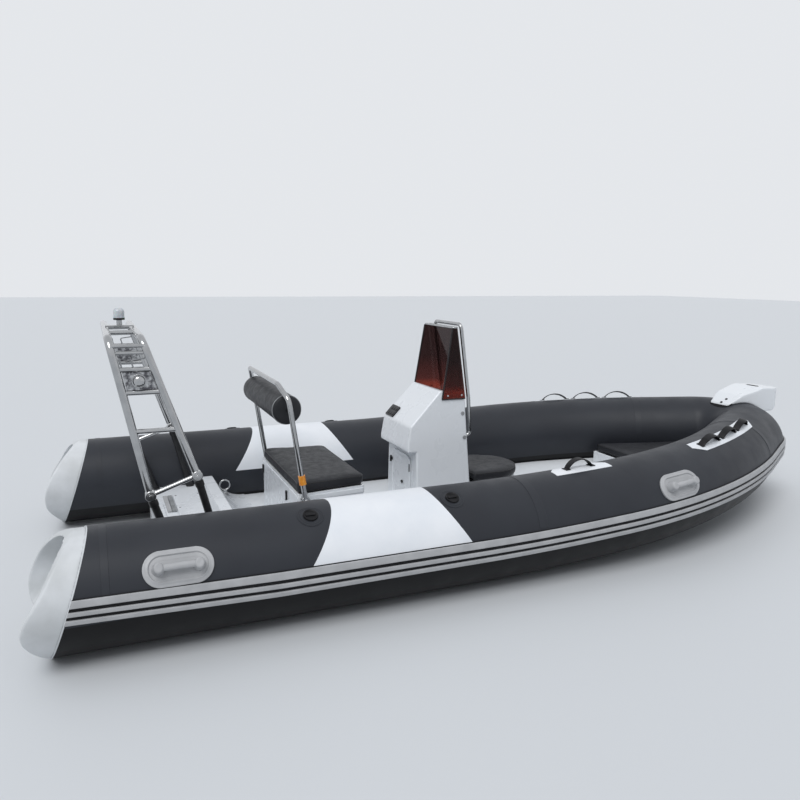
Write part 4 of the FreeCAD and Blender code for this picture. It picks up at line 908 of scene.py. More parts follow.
# %% Air valves
VALVE_ANGLE, VALVE_LIFT = 65, 0.0004
VALVE_RISE = TUBE * math.sin(math.radians(VALVE_ANGLE))
patch = disc("valve_patch", (0, 0, 0), (0, 0, 1), 0.058, 0.0012, sides=48)
rings = [patch]
for radius in (0.046, 0.054):
    bpy.ops.mesh.primitive_torus_add(major_radius=radius, minor_radius=0.0013, major_segments=64, minor_segments=6,
                                     location=(0, 0, 0.0012))
    rings.append(named("valve_ridge"))
patch = joined(rings, "valve_patch")
cap = disc("valve_cap", (0, 0, 0), (0, 0, 1), 0.032, 0.010, sides=48)
take(cap, editing=True)
bevel_picked("FACE", lambda place, facing: facing.z > 0.9, 0.003, 3)
pick("FACE", lambda place, facing: facing.z > 0.9 and place.z > 0.0095)
step_in(0.006, (0, 0, -0.005))
clear()
bar = rounded(block("valve_bar", (-0.021, -0.006, 0.003), (0.021, 0.006, 0.0105)), 0.002)
cap = joined([cap, bar], "valve_cap")
for piece in (patch, cap):
    slice_up(piece, 0.012)
    slice_up(piece, 0.012, axis=1)


def panel_edge(low_x, top_x):
    """Where a panel's slanted edge passes at the valves' height."""
    return low_x + (top_x - low_x) / TUBE * VALVE_RISE


for name, x in (("aft", panel_edge(*PANEL_AFT) - 0.092), ("fore", panel_edge(*PANEL_FORE) + 0.074)):
    for stock, look, slot in ((patch, tape_fabric, "collar_fabric"), (cap, black_rubber, "black_rubber")):
        copy = twin(stock, f"{stock.name}_{name}_starboard")
        copy.data.transform(Matrix.Translation((x, degrees(VALVE_ANGLE), VALVE_LIFT)))
        finish_sides(wrap(copy), look, nodes=["air_valves"] if stock is cap else ())
for stock in (patch, cap):
    bpy.data.objects.remove(stock)

# %% [markdown]
# ## Strap handles
# Black webbing arches over a white patch, one amidships and three at the bow on each side. A short piece of webbing
# is spun along an arc, and its feet get stitched pads. The patches have cut corners, as fabric patches have.

# %% Strap handles
STRAP_WIDE, STRAP_THICK, STRAP_LIFT = 0.036, 0.0045, 0.0026


def white_patch(name, run_from, run_to, low, high, points):
    """A patch whose corners are cut off at a slant, by the lower and the upper edge's depth."""
    piece = slab(name, run_from, run_to, low, high, 0.002, 60, 12)
    for side in (-1, 1):
        end = run_to if side > 0 else run_from
        for edge, way, depth in ((degrees(low), -1, points[0]), (degrees(high), 1, points[1])):
            if depth:
                normal = Vector((side * (degrees(high) - degrees(low)) * 0.5, way * depth, 0))
                cut_away(piece, (end - side * depth, edge, 0), normal)
    return wrap(piece)


def webbing(name, run_from, run_to, angle, rise):
    """An arch of webbing with a stitched pad at each foot."""
    half = (run_to - run_from) / 2 - 0.012
    middle = (run_from + run_to) / 2
    radius = (half * half + rise * rise) / (2 * rise)
    sweep = 2 * math.asin(half / radius)
    bpy.ops.mesh.primitive_plane_add(size=1, location=(0, 0, 0))
    piece = named(name)
    piece.scale = (STRAP_THICK, STRAP_WIDE, 1)
    settle(piece)
    turned = Matrix.Rotation(-sweep / 2, 4, "Y") @ Matrix.Translation((0, 0, radius)) @ Matrix.Rotation(
        math.pi / 2, 4, "Y")
    piece.data.transform(Matrix.Translation((0, 0, rise - radius)) @ turned)
    take(piece, editing=True)
    bpy.ops.mesh.spin(steps=22, angle=-sweep, center=(0, 0, rise - radius), axis=(0, 1, 0))
    face_outward()
    clear()
    parts = [rounded(piece, 0.0012, segments=2)]
    for side in (-1, 1):
        pad = block("strap_pad", (side * half - 0.014, -STRAP_WIDE / 2 - 0.003, 0),
                    (side * half + 0.014, STRAP_WIDE / 2 + 0.003, 0.004))
        parts.append(rounded(pad, 0.0012, segments=2))
    piece = joined(parts, name)
    slice_up(piece, 0.009, axis=1)
    piece.data.transform(Matrix.Translation((middle, degrees(angle), STRAP_LIFT)))
    return wrap(piece)


strap_rows = [("middle", run_at(2.33) - 0.088, run_at(2.33) + 0.088, 91, 0.046)]
bow_start, bow_end = run_at(3.15), run_at(3.79)
pitch = (bow_end - bow_start) / 3
for index in range(3):
    start = bow_start + index * pitch + 0.012
    strap_rows.append((f"bow_{index}", start, start + pitch - 0.024, 74, 0.044))
for name, run_from, run_to, angle, rise in strap_rows:
    strap = webbing(f"strap_{name}_starboard", run_from, run_to, angle, rise)
    finish_sides(strap, black_rubber, nodes=["strap_handles"])
patch_rows = [("middle", run_at(2.16), run_at(2.50), 78, 104, (0.0, 0.05)),
              ("bow", run_at(3.09), run_at(3.85), 62.5, 85.5, (0.075, 0.02))]
for name, run_from, run_to, low, high, points in patch_rows:
    white = white_patch(f"patch_{name}_starboard", run_from, run_to, low, high, points)
    finish_sides(white, white_fabric, nodes=["strap_patches"])

# %% [markdown]
# ## Hull, deck and stern platform
# The solids already have the moulded shapes, so a copy of each gets the soft edges that a gel coat mould needs. The
# deck keeps crisp sides, because the tubes hide them.

# %% White mouldings of the stern
for node, edge, look in (("hull", 0.008, gel_coat), ("cockpit_deck", 0.003, deck_tread),
                         ("stern_platform", 0.010, gel_coat), ("transom_board", 0.004, gel_coat)):
    moulding = rounded(from_solid(node, f"{node}_moulding"), edge, segments=4, angle=30)
    finish(moulding, look, nodes=[node])

# %% [markdown]
# The photograph shows a raised white hatch with screws on the platform, and two ribbed grey pads aft of it on each
# side. A pad is a block whose upper face is cut into ribs by insetting alternate strips.

# %% Platform hatch and pads
PLATFORM_TOP = 0.222
PAD_LOW = PLATFORM_TOP + 0.0002


def screws(name, places, toward, radius, look):
    """Round screw heads, each a low disc with a soft edge."""
    heads = [rounded(disc("screw_head", place, toward, radius, radius * 0.35, sides=20), radius * 0.2, segments=2)
             for place in places]
    finish(joined(heads, name), look)


def ribbed_pad(name, low, high, ribs):
    """A pad with ribs across its upper face."""
    piece = block(name, low, high)
    wide = (high[1] - low[1]) / (2 * ribs)
    take(piece, editing=True)
    for cut in range(1, 2 * ribs):
        bpy.ops.mesh.select_all(action="SELECT")
        bpy.ops.mesh.bisect(plane_co=(0, low[1] + wide * cut, 0), plane_no=(0, 1, 0))
    pick("FACE", lambda place, facing: facing.z > 0.9 and int((place.y - low[1]) / wide) % 2 == 1)
    bpy.ops.mesh.inset(thickness=0.002, use_individual=True)
    bpy.ops.transform.translate(value=(0, 0, -0.005))
    clear()
    return rounded(piece, 0.001, segments=2)


hatch = block("platform_hatch", (0.428, -0.375, PAD_LOW), (0.580, 0.375, PLATFORM_TOP + 0.012))
finish(rounded(hatch, 0.005, segments=4), gel_coat)
screws("hatch_screws", [(x, y, PLATFORM_TOP + 0.0118) for x in (0.443, 0.565) for y in (-0.345, -0.12, 0.12, 0.345)],
       (0, 0, 1), 0.006, grey_plastic)
for x_low, x_high, look in ((0.376, 0.398, grey_rubber), (0.401, 0.423, grey_plastic)):
    pad = ribbed_pad("platform_pad_port", (x_low, 0.085, PAD_LOW), (x_high, 0.372, PLATFORM_TOP + 0.010), 16)
    pad.name = f"platform_pad_{int(x_low * 1000)}_port"
    for piece in (other_side(pad, pad.name.replace("port", "starboard")), pad):
        finish(piece, look)

# %% [markdown]
# ## Stern eyes
# A towing eye is a ring of stainless rod on a short foot that stands on the platform's ramp.

# %% Towing eyes
EYE_X, EYE_Y, EYE_RING, EYE_ROD = 0.742, -0.5, 0.030, 0.005
bpy.ops.mesh.primitive_torus_add(major_radius=EYE_RING, minor_radius=EYE_ROD, major_segments=48, minor_segments=12,
                                 location=(EYE_X, EYE_Y, PLATFORM_TOP), rotation=(math.pi / 2, 0, 0))
ring = settle(named("eye_ring"))
foot = rounded(disc("eye_foot", (EYE_X, EYE_Y, 0.166), (0, 0, 1), 0.014, 0.028), 0.004)
washer = rounded(disc("eye_washer", (EYE_X + 0.004, EYE_Y, 0.168), (0.62, 0, 0.78), 0.021, 0.004), 0.0015)
eye = joined([ring, foot, washer], "eye_starboard")
finish_sides(eye, stainless, nodes=["stern_eyes"])

# %% [markdown]
# ## Stern arch
# The arch is bent from stainless tube: an aft and a fore hoop, rungs between them up each side, and two short bars
# across the top. The hoops stop at their clamps, where the arch folds. Each bar is a curve with round corners, given
# its thickness and then made a mesh.

# %% Hoops and rungs
ARCH_HALF, ARCH_BAR, RUNG_BAR, ARCH_BEND = 0.56, 0.017, 0.011, 0.07
AFT_CLAMP, AFT_TOP = Vector((0.256, 0, 0.52)), Vector((0.122, 0, 1.2))
FORE_CLAMP, FORE_TOP = Vector((0.455, 0, 0.59)), Vector((0.252, 0, 1.2))
LEGS = ((AFT_CLAMP, AFT_TOP), (FORE_CLAMP, FORE_TOP))
CLAMP_RADIUS, CLAMP_WIDE = 0.024, 0.042
OUT_STARBOARD = Vector((0, -ARCH_HALF, 0))
bars = []
for clamp, top in LEGS:
    start = clamp + (top - clamp).normalized() * (CLAMP_RADIUS + 0.0005)
    bars.append(bent_bar("arch_hoop", [start + OUT_STARBOARD, top + OUT_STARBOARD, top - OUT_STARBOARD,
                                       start - OUT_STARBOARD], ARCH_BAR, ARCH_BEND))


def on_leg(clamp, top, height):
    """Where a leg of the arch passes a height."""
    return clamp.lerp(top, (height - clamp.z) / (top.z - clamp.z))


PLATE_LOW, PLATE_HIGH, THIN_RUNG = 0.985, 1.062, 0.008
RUNGS = [(PLATE_LOW - RUNG_BAR, RUNG_BAR), (PLATE_HIGH + RUNG_BAR, RUNG_BAR), (PLATE_LOW - RUNG_BAR - 0.168, RUNG_BAR),
         (1.143, THIN_RUNG), (1.172, THIN_RUNG)]
for height, thick in RUNGS:
    ends = [on_leg(clamp, top, height) for clamp, top in LEGS]
    for side in (OUT_STARBOARD, -OUT_STARBOARD):
        bars.append(bent_bar("arch_rung", [ends[0] + side, ends[1] + side], thick))
for y in (-ARCH_HALF / 3, ARCH_HALF / 3):
    bars.append(bent_bar("arch_top_bar", [AFT_TOP + Vector((0, y, 0)), FORE_TOP + Vector((0, y, 0))], RUNG_BAR))
finish(joined(bars, "arch_hoops"), stainless, "arch", nodes=["arch_frame"], angle=50)

# %% [markdown]
# Between the upper rungs the photograph shows a thin dark wire bracket, bent to a loop. It hangs from the fore leg
# and stands on the plate's upper rung.

# %% Wire brackets
WIRES = (([on_leg(FORE_CLAMP, FORE_TOP, 1.120) - Vector((0.012, 0, 0)), Vector((0.205, 0, 1.112)),
           Vector((0.214, 0, 1.082))], 0.008),
         ([Vector((0.168, 0, 1.082)), Vector((0.162, 0, 1.114)), Vector((0.150, 0, 1.118))], 0.006))
wires_bent = [bent_bar("wire", [place + side for place in places], 0.003, bend)
              for side in (OUT_STARBOARD, -OUT_STARBOARD) for places, bend in WIRES]
finish(joined(wires_bent, "wire_brackets"), grey_plastic, "arch", angle=50)

# %% [markdown]
# The side plates are mottled steel sheet between the legs, each with a polished knob in its middle. The knob is a
# disc whose front edge is rounded until it is nearly a ball, on a low neck.

# %% Side plates and knobs
INSET, PLATE_HALF_THICK = ARCH_BAR + 0.002, 0.003
corners = [(on_leg(*LEGS[leg], height).x + way * INSET, height) for leg, way, height in (
    (0, 1, PLATE_LOW), (1, -1, PLATE_LOW), (1, -1, PLATE_HIGH), (0, 1, PLATE_HIGH))]
plate = rounded(side_plate("arch_plate_starboard", corners, -ARCH_HALF - PLATE_HALF_THICK,
                           -ARCH_HALF + PLATE_HALF_THICK), 0.0012)
middle = sum((Vector((x, -ARCH_HALF, z)) for x, z in corners), Vector()) / 4
ball = disc("plate_knob", middle + Vector((0, -PLATE_HALF_THICK, 0)), (0, -1, 0), 0.026, 0.024, sides=48)
take(ball, editing=True)
bevel_picked("FACE", lambda place, facing: facing.y < -0.9, 0.018, 8)
clear()
neck = rounded(disc("knob_neck", middle, (0, -1, 0), 0.030, 0.006, sides=48), 0.0015)
knob = joined([ball, neck], "arch_knob_starboard")
finish_sides(plate, mottled_steel, "arch", nodes=["arch_plates"], angle=40)
finish_sides(knob, stainless, "arch", angle=40)

# %% [markdown]
# ## Clamps and stubs
# Dark stubs stand on the platform. A bright clamp on each takes the hoop's end, with a bolt through it, and a bar
# ties the two clamps of a side together.

# %% Clamps, stubs and feet
FOOT_AFT, FOOT_FORE = Vector((0.352, 0, 0.222)), Vector((0.548, 0, 0.222))
clamps, stubs = [], []
for clamp, foot in ((AFT_CLAMP, FOOT_AFT), (FORE_CLAMP, FOOT_FORE)):
    lean = (clamp - foot).normalized()
    stub = bent_bar("stub", [foot + lean * 0.004 + OUT_STARBOARD, clamp + OUT_STARBOARD], ARCH_BAR)
    cut_away(stub, (0, 0, PLATFORM_TOP), (0, 0, -1))
    stubs.append(stub)
    sleeve = clamp - lean * 0.052
    stubs.append(rounded(disc("sleeve", sleeve + OUT_STARBOARD, lean, ARCH_BAR + 0.003, 0.026), 0.002))
    flange = rounded(disc("flange", foot + OUT_STARBOARD, (0, 0, 1), 0.024, 0.008), 0.002)
    stubs.append(flange)
    barrel = disc("clamp", clamp + OUT_STARBOARD + Vector((0, CLAMP_WIDE / 2, 0)), (0, -1, 0), CLAMP_RADIUS,
                  CLAMP_WIDE, sides=48)
    clamps.append(rounded(barrel, 0.005, segments=4))
    for side in (-1, 1):
        place = clamp + OUT_STARBOARD + Vector((0, side * 0.0205, 0))
        clamps.append(rounded(disc("clamp_washer", place, (0, side, 0), 0.014, 0.003, sides=32), 0.001))
        clamps.append(rounded(disc("clamp_bolt", place, (0, side, 0), 0.009, 0.009, sides=6), 0.0015))
clamps.append(bent_bar("clamp_tie", [AFT_CLAMP + OUT_STARBOARD, FORE_CLAMP + OUT_STARBOARD], RUNG_BAR))
clamps = joined(clamps, "arch_clamps_starboard")
stubs = joined(stubs, "arch_stubs_starboard")
finish_sides(clamps, stainless, nodes=["arch_feet"], angle=45)
finish_sides(stubs, black_plastic, nodes=["arch_feet"], angle=45)

# %% [markdown]
# ## Stern light
# A frosted dome on a black base stands on a small plate that lies across the two top bars.

# %% Light and bracket
LIGHT_X, LIGHT_LOW = (AFT_TOP.x + FORE_TOP.x) / 2, 1.248
plate = rounded(block("light_plate", (AFT_TOP.x, -0.026, 1.2173), (FORE_TOP.x, 0.026, 1.2233)), 0.002)
post = rounded(disc("light_post", (LIGHT_X, 0, 1.223), (0, 0, 1), 0.013, 0.0243), 0.001)
finish(joined([plate, post], "light_mount"), stainless, "arch", nodes=["light_bracket"])
base = rounded(disc("light_base", (LIGHT_X, 0, LIGHT_LOW), (0, 0, 1), 0.0265, 0.010, sides=48), 0.002)
finish(base, black_plastic, "arch")
dome = disc("light_dome", (LIGHT_X, 0, LIGHT_LOW + 0.0102), (0, 0, 1), 0.0255, 0.0475, sides=48)
take(dome, editing=True)
bevel_picked("FACE", lambda place, facing: facing.z > 0.9, 0.020, 8)
clear()
finish(dome, frosted_dome, "arch", nodes=["stern_light"], angle=50)

# %% [markdown]
# ## Stuffed pieces
# A cushion is a cover filled with foam. A slightly smaller form is remeshed, and a cloth simulation swells it from
# inside, so its faces crown and its sides pull in between the corners. How far a point may move is capped, and the
# face it rests on stays flat. The piping comes after: a plane cuts the finished cushion, and the cut is kept as a
# bead.

# %% Swelling and piping
SWELL_FRAMES, PRESSURE, CROWN, PIPING = 20, 4.0, 0.007, 0.0022


def swell(piece, cap, voxel=0.0075, floor=None):
    """Fills a cover from inside and smooths the result."""
    melt(piece, voxel, 3)
    start = [vertex.co.copy() for vertex in piece.data.vertices]
    take(piece)
    cover = piece.modifiers.new("cover", "CLOTH")
    cover.settings.use_pressure = True
    cover.settings.uniform_pressure_force = PRESSURE
    cover.settings.effector_weights.gravity = 0
    cover.point_cache.frame_start, cover.point_cache.frame_end = 1, SWELL_FRAMES
    for frame_number in range(1, SWELL_FRAMES + 1):
        bpy.context.scene.frame_set(frame_number)
    bpy.ops.object.modifier_apply(modifier=cover.name)
    bpy.context.scene.frame_set(1)
    for vertex, place in zip(piece.data.vertices, start):
        moved = vertex.co - place
        if moved.length > cap:
            vertex.co = place + moved.normalized() * cap
    modify(piece, "SMOOTH", factor=0.5, iterations=2)
    modify(piece, "SUBSURF", levels=1, render_levels=1)
    if floor is not None:
        for vertex in piece.data.vertices:
            vertex.co.z = max(vertex.co.z, floor(vertex.co.x))
    return piece


def bead_round(piece, name, place, normal, radius):
    """A bead of piping where a plane cuts a finished cushion."""
    loop = twin(piece, name)
    take(loop, editing=True)
    bpy.ops.mesh.select_mode(type="VERT")
    bpy.ops.mesh.select_all(action="SELECT")
    bpy.ops.mesh.bisect(plane_co=place, plane_no=normal)
    bpy.ops.mesh.select_all(action="INVERT")
    bpy.ops.mesh.delete(type="VERT")
    clear()
    take(loop)
    bpy.ops.object.convert(target="CURVE")
    loop = bpy.context.object
    loop.data.bevel_depth = radius
    loop.data.bevel_resolution = 2
    bpy.ops.object.convert(target="MESH")
    return settle(named(name))


def pipe(cushion, name, cuts, radius, look, body):
    """Beads of piping where planes, each a place and a normal, cut a finished cushion."""
    beads = [bead_round(cushion, "bead", place, normal, radius) for place, normal in cuts]
    finish(joined(beads, name), look, body, angle=60)


def outlined(name, places, low, high):
    """A plate with an outline drawn from above, between two heights."""
    return drawn_plate(name, [(x, y, low) for x, y in places], (0, 0, high - low))


def upright(piece, width, segments=4):
    """Rounds only the upright edges of a plate."""
    take(piece, editing=True)
    bevel_picked("EDGE", lambda place, way: abs(way.z) > 0.95, width, segments)
    clear()
    return piece


# %% [markdown]
# ## Helm seat
# The box is a tapered white moulding, open under its lid. Its outside is rounded before the inside is cut out, so
# the bevels don't meet in the thin wall. The cushion lies on the lid and lifts with it.

# %% Seat box and cushion
HELM_AFT, HELM_FORE, HELM_HALF_AFT, HELM_HALF_FORE, HELM_TOP = 0.955, 1.322, 0.400, 0.356, 0.396
DECK = 0.110


def helm_outline(grow):
    """The seat box's outline from above, grown all round."""
    return [(HELM_AFT - grow, -HELM_HALF_AFT - grow), (HELM_FORE + grow, -HELM_HALF_FORE - grow),
            (HELM_FORE + grow, HELM_HALF_FORE + grow), (HELM_AFT - grow, HELM_HALF_AFT + grow)]


box = upright(outlined("helm_box", helm_outline(0), DECK, HELM_TOP), 0.018, 5)
inner = outlined("helm_inside", helm_outline(-0.010), DECK - 0.05, HELM_TOP + 0.05)
combine(box, inner, "DIFFERENCE")
rim = upright(outlined("helm_rim", helm_outline(0.003), 0.360, 0.384), 0.019, 5)
hollow = outlined("helm_rim_inside", helm_outline(-0.004), 0.30, 0.5)
rounded(rim, 0.002, 2)
combine(rim, hollow, "DIFFERENCE")
finish(box, gel_coat, nodes=["helm_seat_box"])
finish(rim, gel_coat)
cushion = upright(outlined("helm_cushion", helm_outline(0.003), 0.4025, 0.4525), 0.030, 6)
rounded(cushion, 0.010, 3)
swell(cushion, CROWN, floor=lambda x: 0.3965)
finish(cushion, vinyl, "helm_lid", nodes=["helm_seat_cushion"], angle=60)
pipe(cushion, "helm_piping", [((0, 0, height), (0, 0, 1)) for height in (0.445, 0.404)], PIPING, black_plastic,
     "helm_lid")

# %% [markdown]
# Two hinges with dark leaves show on the box's aft face. Each is a leaf beside a pin.

# %% Box hinges
leaves = []
for y, z in ((0.374, 0.335), (-0.175, 0.330)):
    leaves.append(rounded(block("leaf", (0.949, y - 0.007, z - 0.024), (0.9555, y + 0.007, z + 0.024)), 0.0015))
    leaves.append(bent_bar("pin", [(0.9485, y, z - 0.027), (0.9485, y, z + 0.027)], 0.0035))
finish(joined(leaves, "box_fasteners"), black_plastic)

# %% [markdown]
# ## Swinging backrest
# A stainless hoop is pivoted on the box's sides. It carries a round bolster on pins, and an orange cap shows on the
# near leg in the photograph.

# %% Hoop, bolster and pivots
LEG_Y, PIVOT, REST_BAR = 0.430, Vector((0.985, 0, 0.372)), 0.013
hoop = bent_bar("backrest_hoop", [(PIVOT.x, -LEG_Y, PIVOT.z), (0.908, -LEG_Y, 0.880), (0.880, -0.330, 0.945),
                                  (0.880, 0.330, 0.945), (0.908, LEG_Y, 0.880), (PIVOT.x, LEG_Y, PIVOT.z)],
                REST_BAR, 0.045)
parts = [hoop]
BOLSTER_X, BOLSTER_Z, BOLSTER_HALF = 0.917, 0.820, 0.366
for side in (-1, 1):
    parts.append(bent_bar("rest_pin", [(BOLSTER_X, side * LEG_Y, BOLSTER_Z), (BOLSTER_X, side * 0.3725, BOLSTER_Z)],
                          0.009))
    eye = disc("pivot_eye", (PIVOT.x, side * (LEG_Y - 0.010), PIVOT.z), (0, side, 0), 0.022, 0.020, sides=40)
    parts.append(rounded(eye, 0.004))
    bolt = disc("pivot_bolt", (PIVOT.x, side * (LEG_Y + 0.0095), PIVOT.z), (0, side, 0), 0.010, 0.007, sides=6)
    parts.append(rounded(bolt, 0.0015))
finish(joined(parts, "backrest_bars"), stainless, "backrest", nodes=["backrest_frame"], angle=50)
for side_name, side in (("starboard", -1), ("port", 1)):
    inner_face = HELM_HALF_AFT - (HELM_HALF_AFT - HELM_HALF_FORE) * (PIVOT.x - HELM_AFT) / (HELM_FORE - HELM_AFT)
    boss = disc(f"pivot_boss_{side_name}", (PIVOT.x, side * (inner_face - 0.002), PIVOT.z), (0, side, 0), 0.0187,
                0.4165 - inner_face + 0.002, sides=40)
    finish(rounded(boss, 0.002), stainless, nodes=["backrest_pivots"])
cap = bent_bar("leg_cap", [(0.9723, -LEG_Y, 0.456), (0.9653, -LEG_Y, 0.502)], 0.0175, sides=12)
finish(rounded(cap, 0.003, 3, angle=50), orange_plastic, "backrest", angle=50)

bolster = disc("bolster", (BOLSTER_X, -BOLSTER_HALF, BOLSTER_Z), (0, 1, 0), 0.073, 2 * BOLSTER_HALF, sides=56)
rounded(bolster, 0.012, 3)
swell(bolster, 0.006)
finish(bolster, vinyl, "backrest", nodes=["backrest_bolster"], angle=60)
pipe(bolster, "bolster_piping", [((0, y, 0), (0, 1, 0)) for y in (-0.352, 0.352)], 0.0026, piping, "backrest")

# %% [markdown]
# ## Console
# The console is a moulding with a sloped dash that overhangs the door. Its outline is drawn from the side, extruded
# across, and its sides are leaned in. The edges are rounded, and then the inside and the doorway are cut out.

# %% Console shell
CONSOLE_HALF, CONSOLE_TOP_HALF, DASH_TOP = 0.225, 0.190, 0.841


def lean_sides(piece, inset=0.0):
    """Narrows a piece towards the dash's height."""
    for vertex in piece.data.vertices:
        share = (vertex.co.z - DECK) / (DASH_TOP - DECK)
        half = CONSOLE_HALF + (CONSOLE_TOP_HALF - CONSOLE_HALF) * share - inset
        vertex.co.y = math.copysign(half, vertex.co.y)
    return piece


outer = [(1.685, DECK), (1.685, 0.500), (1.632, 0.500), (1.632, 0.535), (1.650, 0.645), (1.836, 0.841),
         (1.990, 0.790), (2.035, DECK)]
inner = [(1.693, DECK - 0.04), (1.693, 0.503), (1.640, 0.503), (1.640, 0.535), (1.658, 0.6426), (1.8408, 0.8314),
         (1.982, 0.782), (2.027, DECK - 0.04)]
shell = lean_sides(side_plate("console_moulding", outer, -0.2, 0.2))
rounded(shell, 0.011, 4, angle=12)
cut_away(shell, (0, 0, DECK), (0, 0, -1))
combine(shell, lean_sides(side_plate("console_inside", inner, -0.2, 0.2), 0.008), "DIFFERENCE")
combine(shell, block("doorway", (1.67, -0.122, 0.190), (1.72, 0.122, 0.450)), "DIFFERENCE")
finish(shell, gel_coat, nodes=["console_shell"])

# %% [markdown]
# The door is a plate with an arched top, a raised border, a latch and two hinges. It turns about its starboard
# edge, and everything on it turns with it.

# %% Console door
DOOR_X, DOOR_HALF_WIDE, DOOR_LOW, DOOR_HIGH = 1.6727, 0.134, 0.178, 0.462
door = block("door_plate", (DOOR_X, -DOOR_HALF_WIDE, DOOR_LOW), (DOOR_X + 0.0105, DOOR_HALF_WIDE, DOOR_HIGH))
take(door, editing=True)
bevel_picked("EDGE", lambda place, way: abs(way.x) > 0.9 and place.z > 0.4, 0.055, 8)
bevel_picked("EDGE", lambda place, way: abs(way.x) > 0.9 and place.z < 0.2, 0.030, 4)
pick("FACE", lambda place, facing: facing.x < -0.9)
bpy.ops.mesh.inset(thickness=0.020)
step_in(0.003, (0.003, 0, 0))
clear()
rounded(door, 0.001, 2, angle=50)
finish(door, gel_coat, "door", nodes=["console_door"])
latch = [rounded(disc("latch", (DOOR_X + 0.001, 0.118, 0.395), (-1, 0, 0), 0.011, 0.006), 0.002),
         rounded(block("latch_tab", (DOOR_X - 0.014, 0.113, 0.376), (DOOR_X - 0.004, 0.123, 0.414)), 0.002),
         rounded(disc("lock", (DOOR_X + 0.001, -0.035, 0.292), (-1, 0, 0), 0.009, 0.008), 0.002)]
finish(joined(latch, "door_latch"), black_plastic, "door")
barrels = [bent_bar("barrel", [(DOOR_X + 0.001, -0.1325, z), (DOOR_X + 0.001, -0.1325, z + 0.044)], 0.0045)
           for z in (0.215, 0.375)]
finish(joined(barrels, "door_hinges"), stainless, "door", angle=50)

# %% [markdown]
# The switch panel is made flat on the bench, with a rim and six rockers, and is then laid on the dash's slope.

# %% Switch panel
DASH_LOW = Vector((1.650, 0, 0.645))
UP_DASH = (Vector((1.836, 0, 0.841)) - DASH_LOW).normalized()
OFF_DASH = Vector((-UP_DASH.z, 0, UP_DASH.x))
lay_on_dash = Matrix(((UP_DASH.x, 0, OFF_DASH.x, DASH_LOW.x), (0, 1, 0, 0), (UP_DASH.z, 0, OFF_DASH.z, DASH_LOW.z),
                      (0, 0, 0, 1)))
board = block("switch_board", (0.009, 0.071, 0.0003), (0.084, 0.181, 0.0085))
take(board, editing=True)
bevel_picked("EDGE", lambda place, way: abs(way.z) > 0.9, 0.008, 4)
pick("FACE", lambda place, facing: facing.z > 0.9)
step_in(0.005, (0, 0, -0.002))
clear()
rockers = [rounded(board, 0.001, 2)]
for row in range(2):
    for column in range(3):
        x, y = 0.030 + row * 0.033, 0.096 + column * 0.030
        rocker = block("rocker", (x - 0.011, y - 0.009, 0.004), (x + 0.011, y + 0.009, 0.0105))
        take(rocker, editing=True)
        pick("EDGE", lambda place, way: abs(way.y) > 0.9 and place.z > 0.01 and place.x > x)
        bpy.ops.transform.translate(value=(0, 0, -0.003))
        clear()
        rockers.append(rounded(rocker, 0.0015, 2))
panel = joined(rockers, "switch_board")
panel.data.transform(lay_on_dash)
finish(panel, black_plastic, nodes=["switch_panel"])

# %% [markdown]
# ## Windshield and grab rail
# The smoked screen wraps round the console's top on three sides and is open aft. Its corners are rounded on a copy
# of the solid. A bright rod runs round its upper edge, dark trim lies down its aft edges, and screws hold its foot.

# %% Windshield
screen = from_solid("windshield", "smoked_screen")
take(screen, editing=True)
bevel_picked("EDGE", lambda place, way: abs(way.z) > 0.8 and place.x > 1.94 and abs(place.y) > 0.16, 0.016, 4)
clear()
finish(screen, smoked, nodes=["windshield"])
TOP_Z = 1.1885
rod = bent_bar("screen_rod", [(1.905, 0, TOP_Z), (1.905, -0.1825, TOP_Z), (1.9395, -0.1825, TOP_Z),
                              (1.9395, 0.1825, TOP_Z), (1.905, 0.1825, TOP_Z), (1.905, 0.0, TOP_Z)], 0.0045, 0.012)
finish(rod, stainless, angle=50)
trim = [bent_bar("trim", [(1.8435, side * 0.1955, 0.789), (1.905, side * 0.1825, 1.184)], 0.0042)
        for side in (-1, 1)]
trim.append(bent_bar("trim", [(1.845, -0.1957, 0.7885), (1.993, -0.1957, 0.7885), (1.993, 0.1957, 0.7885),
                              (1.845, 0.1957, 0.7885)], 0.0036, 0.016))
finish(joined(trim, "screen_trim"), black_plastic, angle=50)
for side_name, side in (("starboard", -1), ("port", 1)):
    screws(f"screen_screws_{side_name}", [(1.878, side * 0.1963, 0.809), (1.965, side * 0.1963, 0.809)],
           (0, side, 0), 0.006, stainless)

# %% Grab rail
RAIL = [(2.0055, 0.565), (2.039, 0.565), (2.024, 0.790), (1.966, 1.205)]
corners = [(x, -0.165, z) for x, z in RAIL] + [(x, 0.165, z) for x, z in reversed(RAIL)]
parts = [bent_bar("rail", corners, 0.011, 0.028)]
for y in (-0.165, 0.165):
    parts.append(rounded(disc("rail_foot", (2.0053, y, 0.565), (1, 0, 0), 0.021, 0.005), 0.0015))
finish(joined(parts, "rail_bars"), stainless, nodes=["grab_rail"], angle=50)

# %% [markdown]
# Two round caps show on the console's near side, one near the dash and one lower down.

# %% Console fittings
caps = []
for x, z in ((1.973, 0.704), (1.985, 0.565)):
    y = CONSOLE_HALF + (CONSOLE_TOP_HALF - CONSOLE_HALF) * (z - DECK) / (DASH_TOP - DECK)
    caps.append(rounded(disc("cap", (x, -y + 0.0005, z), (0, -1, 0.048), 0.011, 0.005), 0.002))
finish(joined(caps, "console_caps"), grey_plastic)

# %% [markdown]
# ## Front seat
# The box before the console has a round fore end, and so has its cushion. The outline is an arc between two straight
# sides. The pad on the console's fore face is the seat's back.

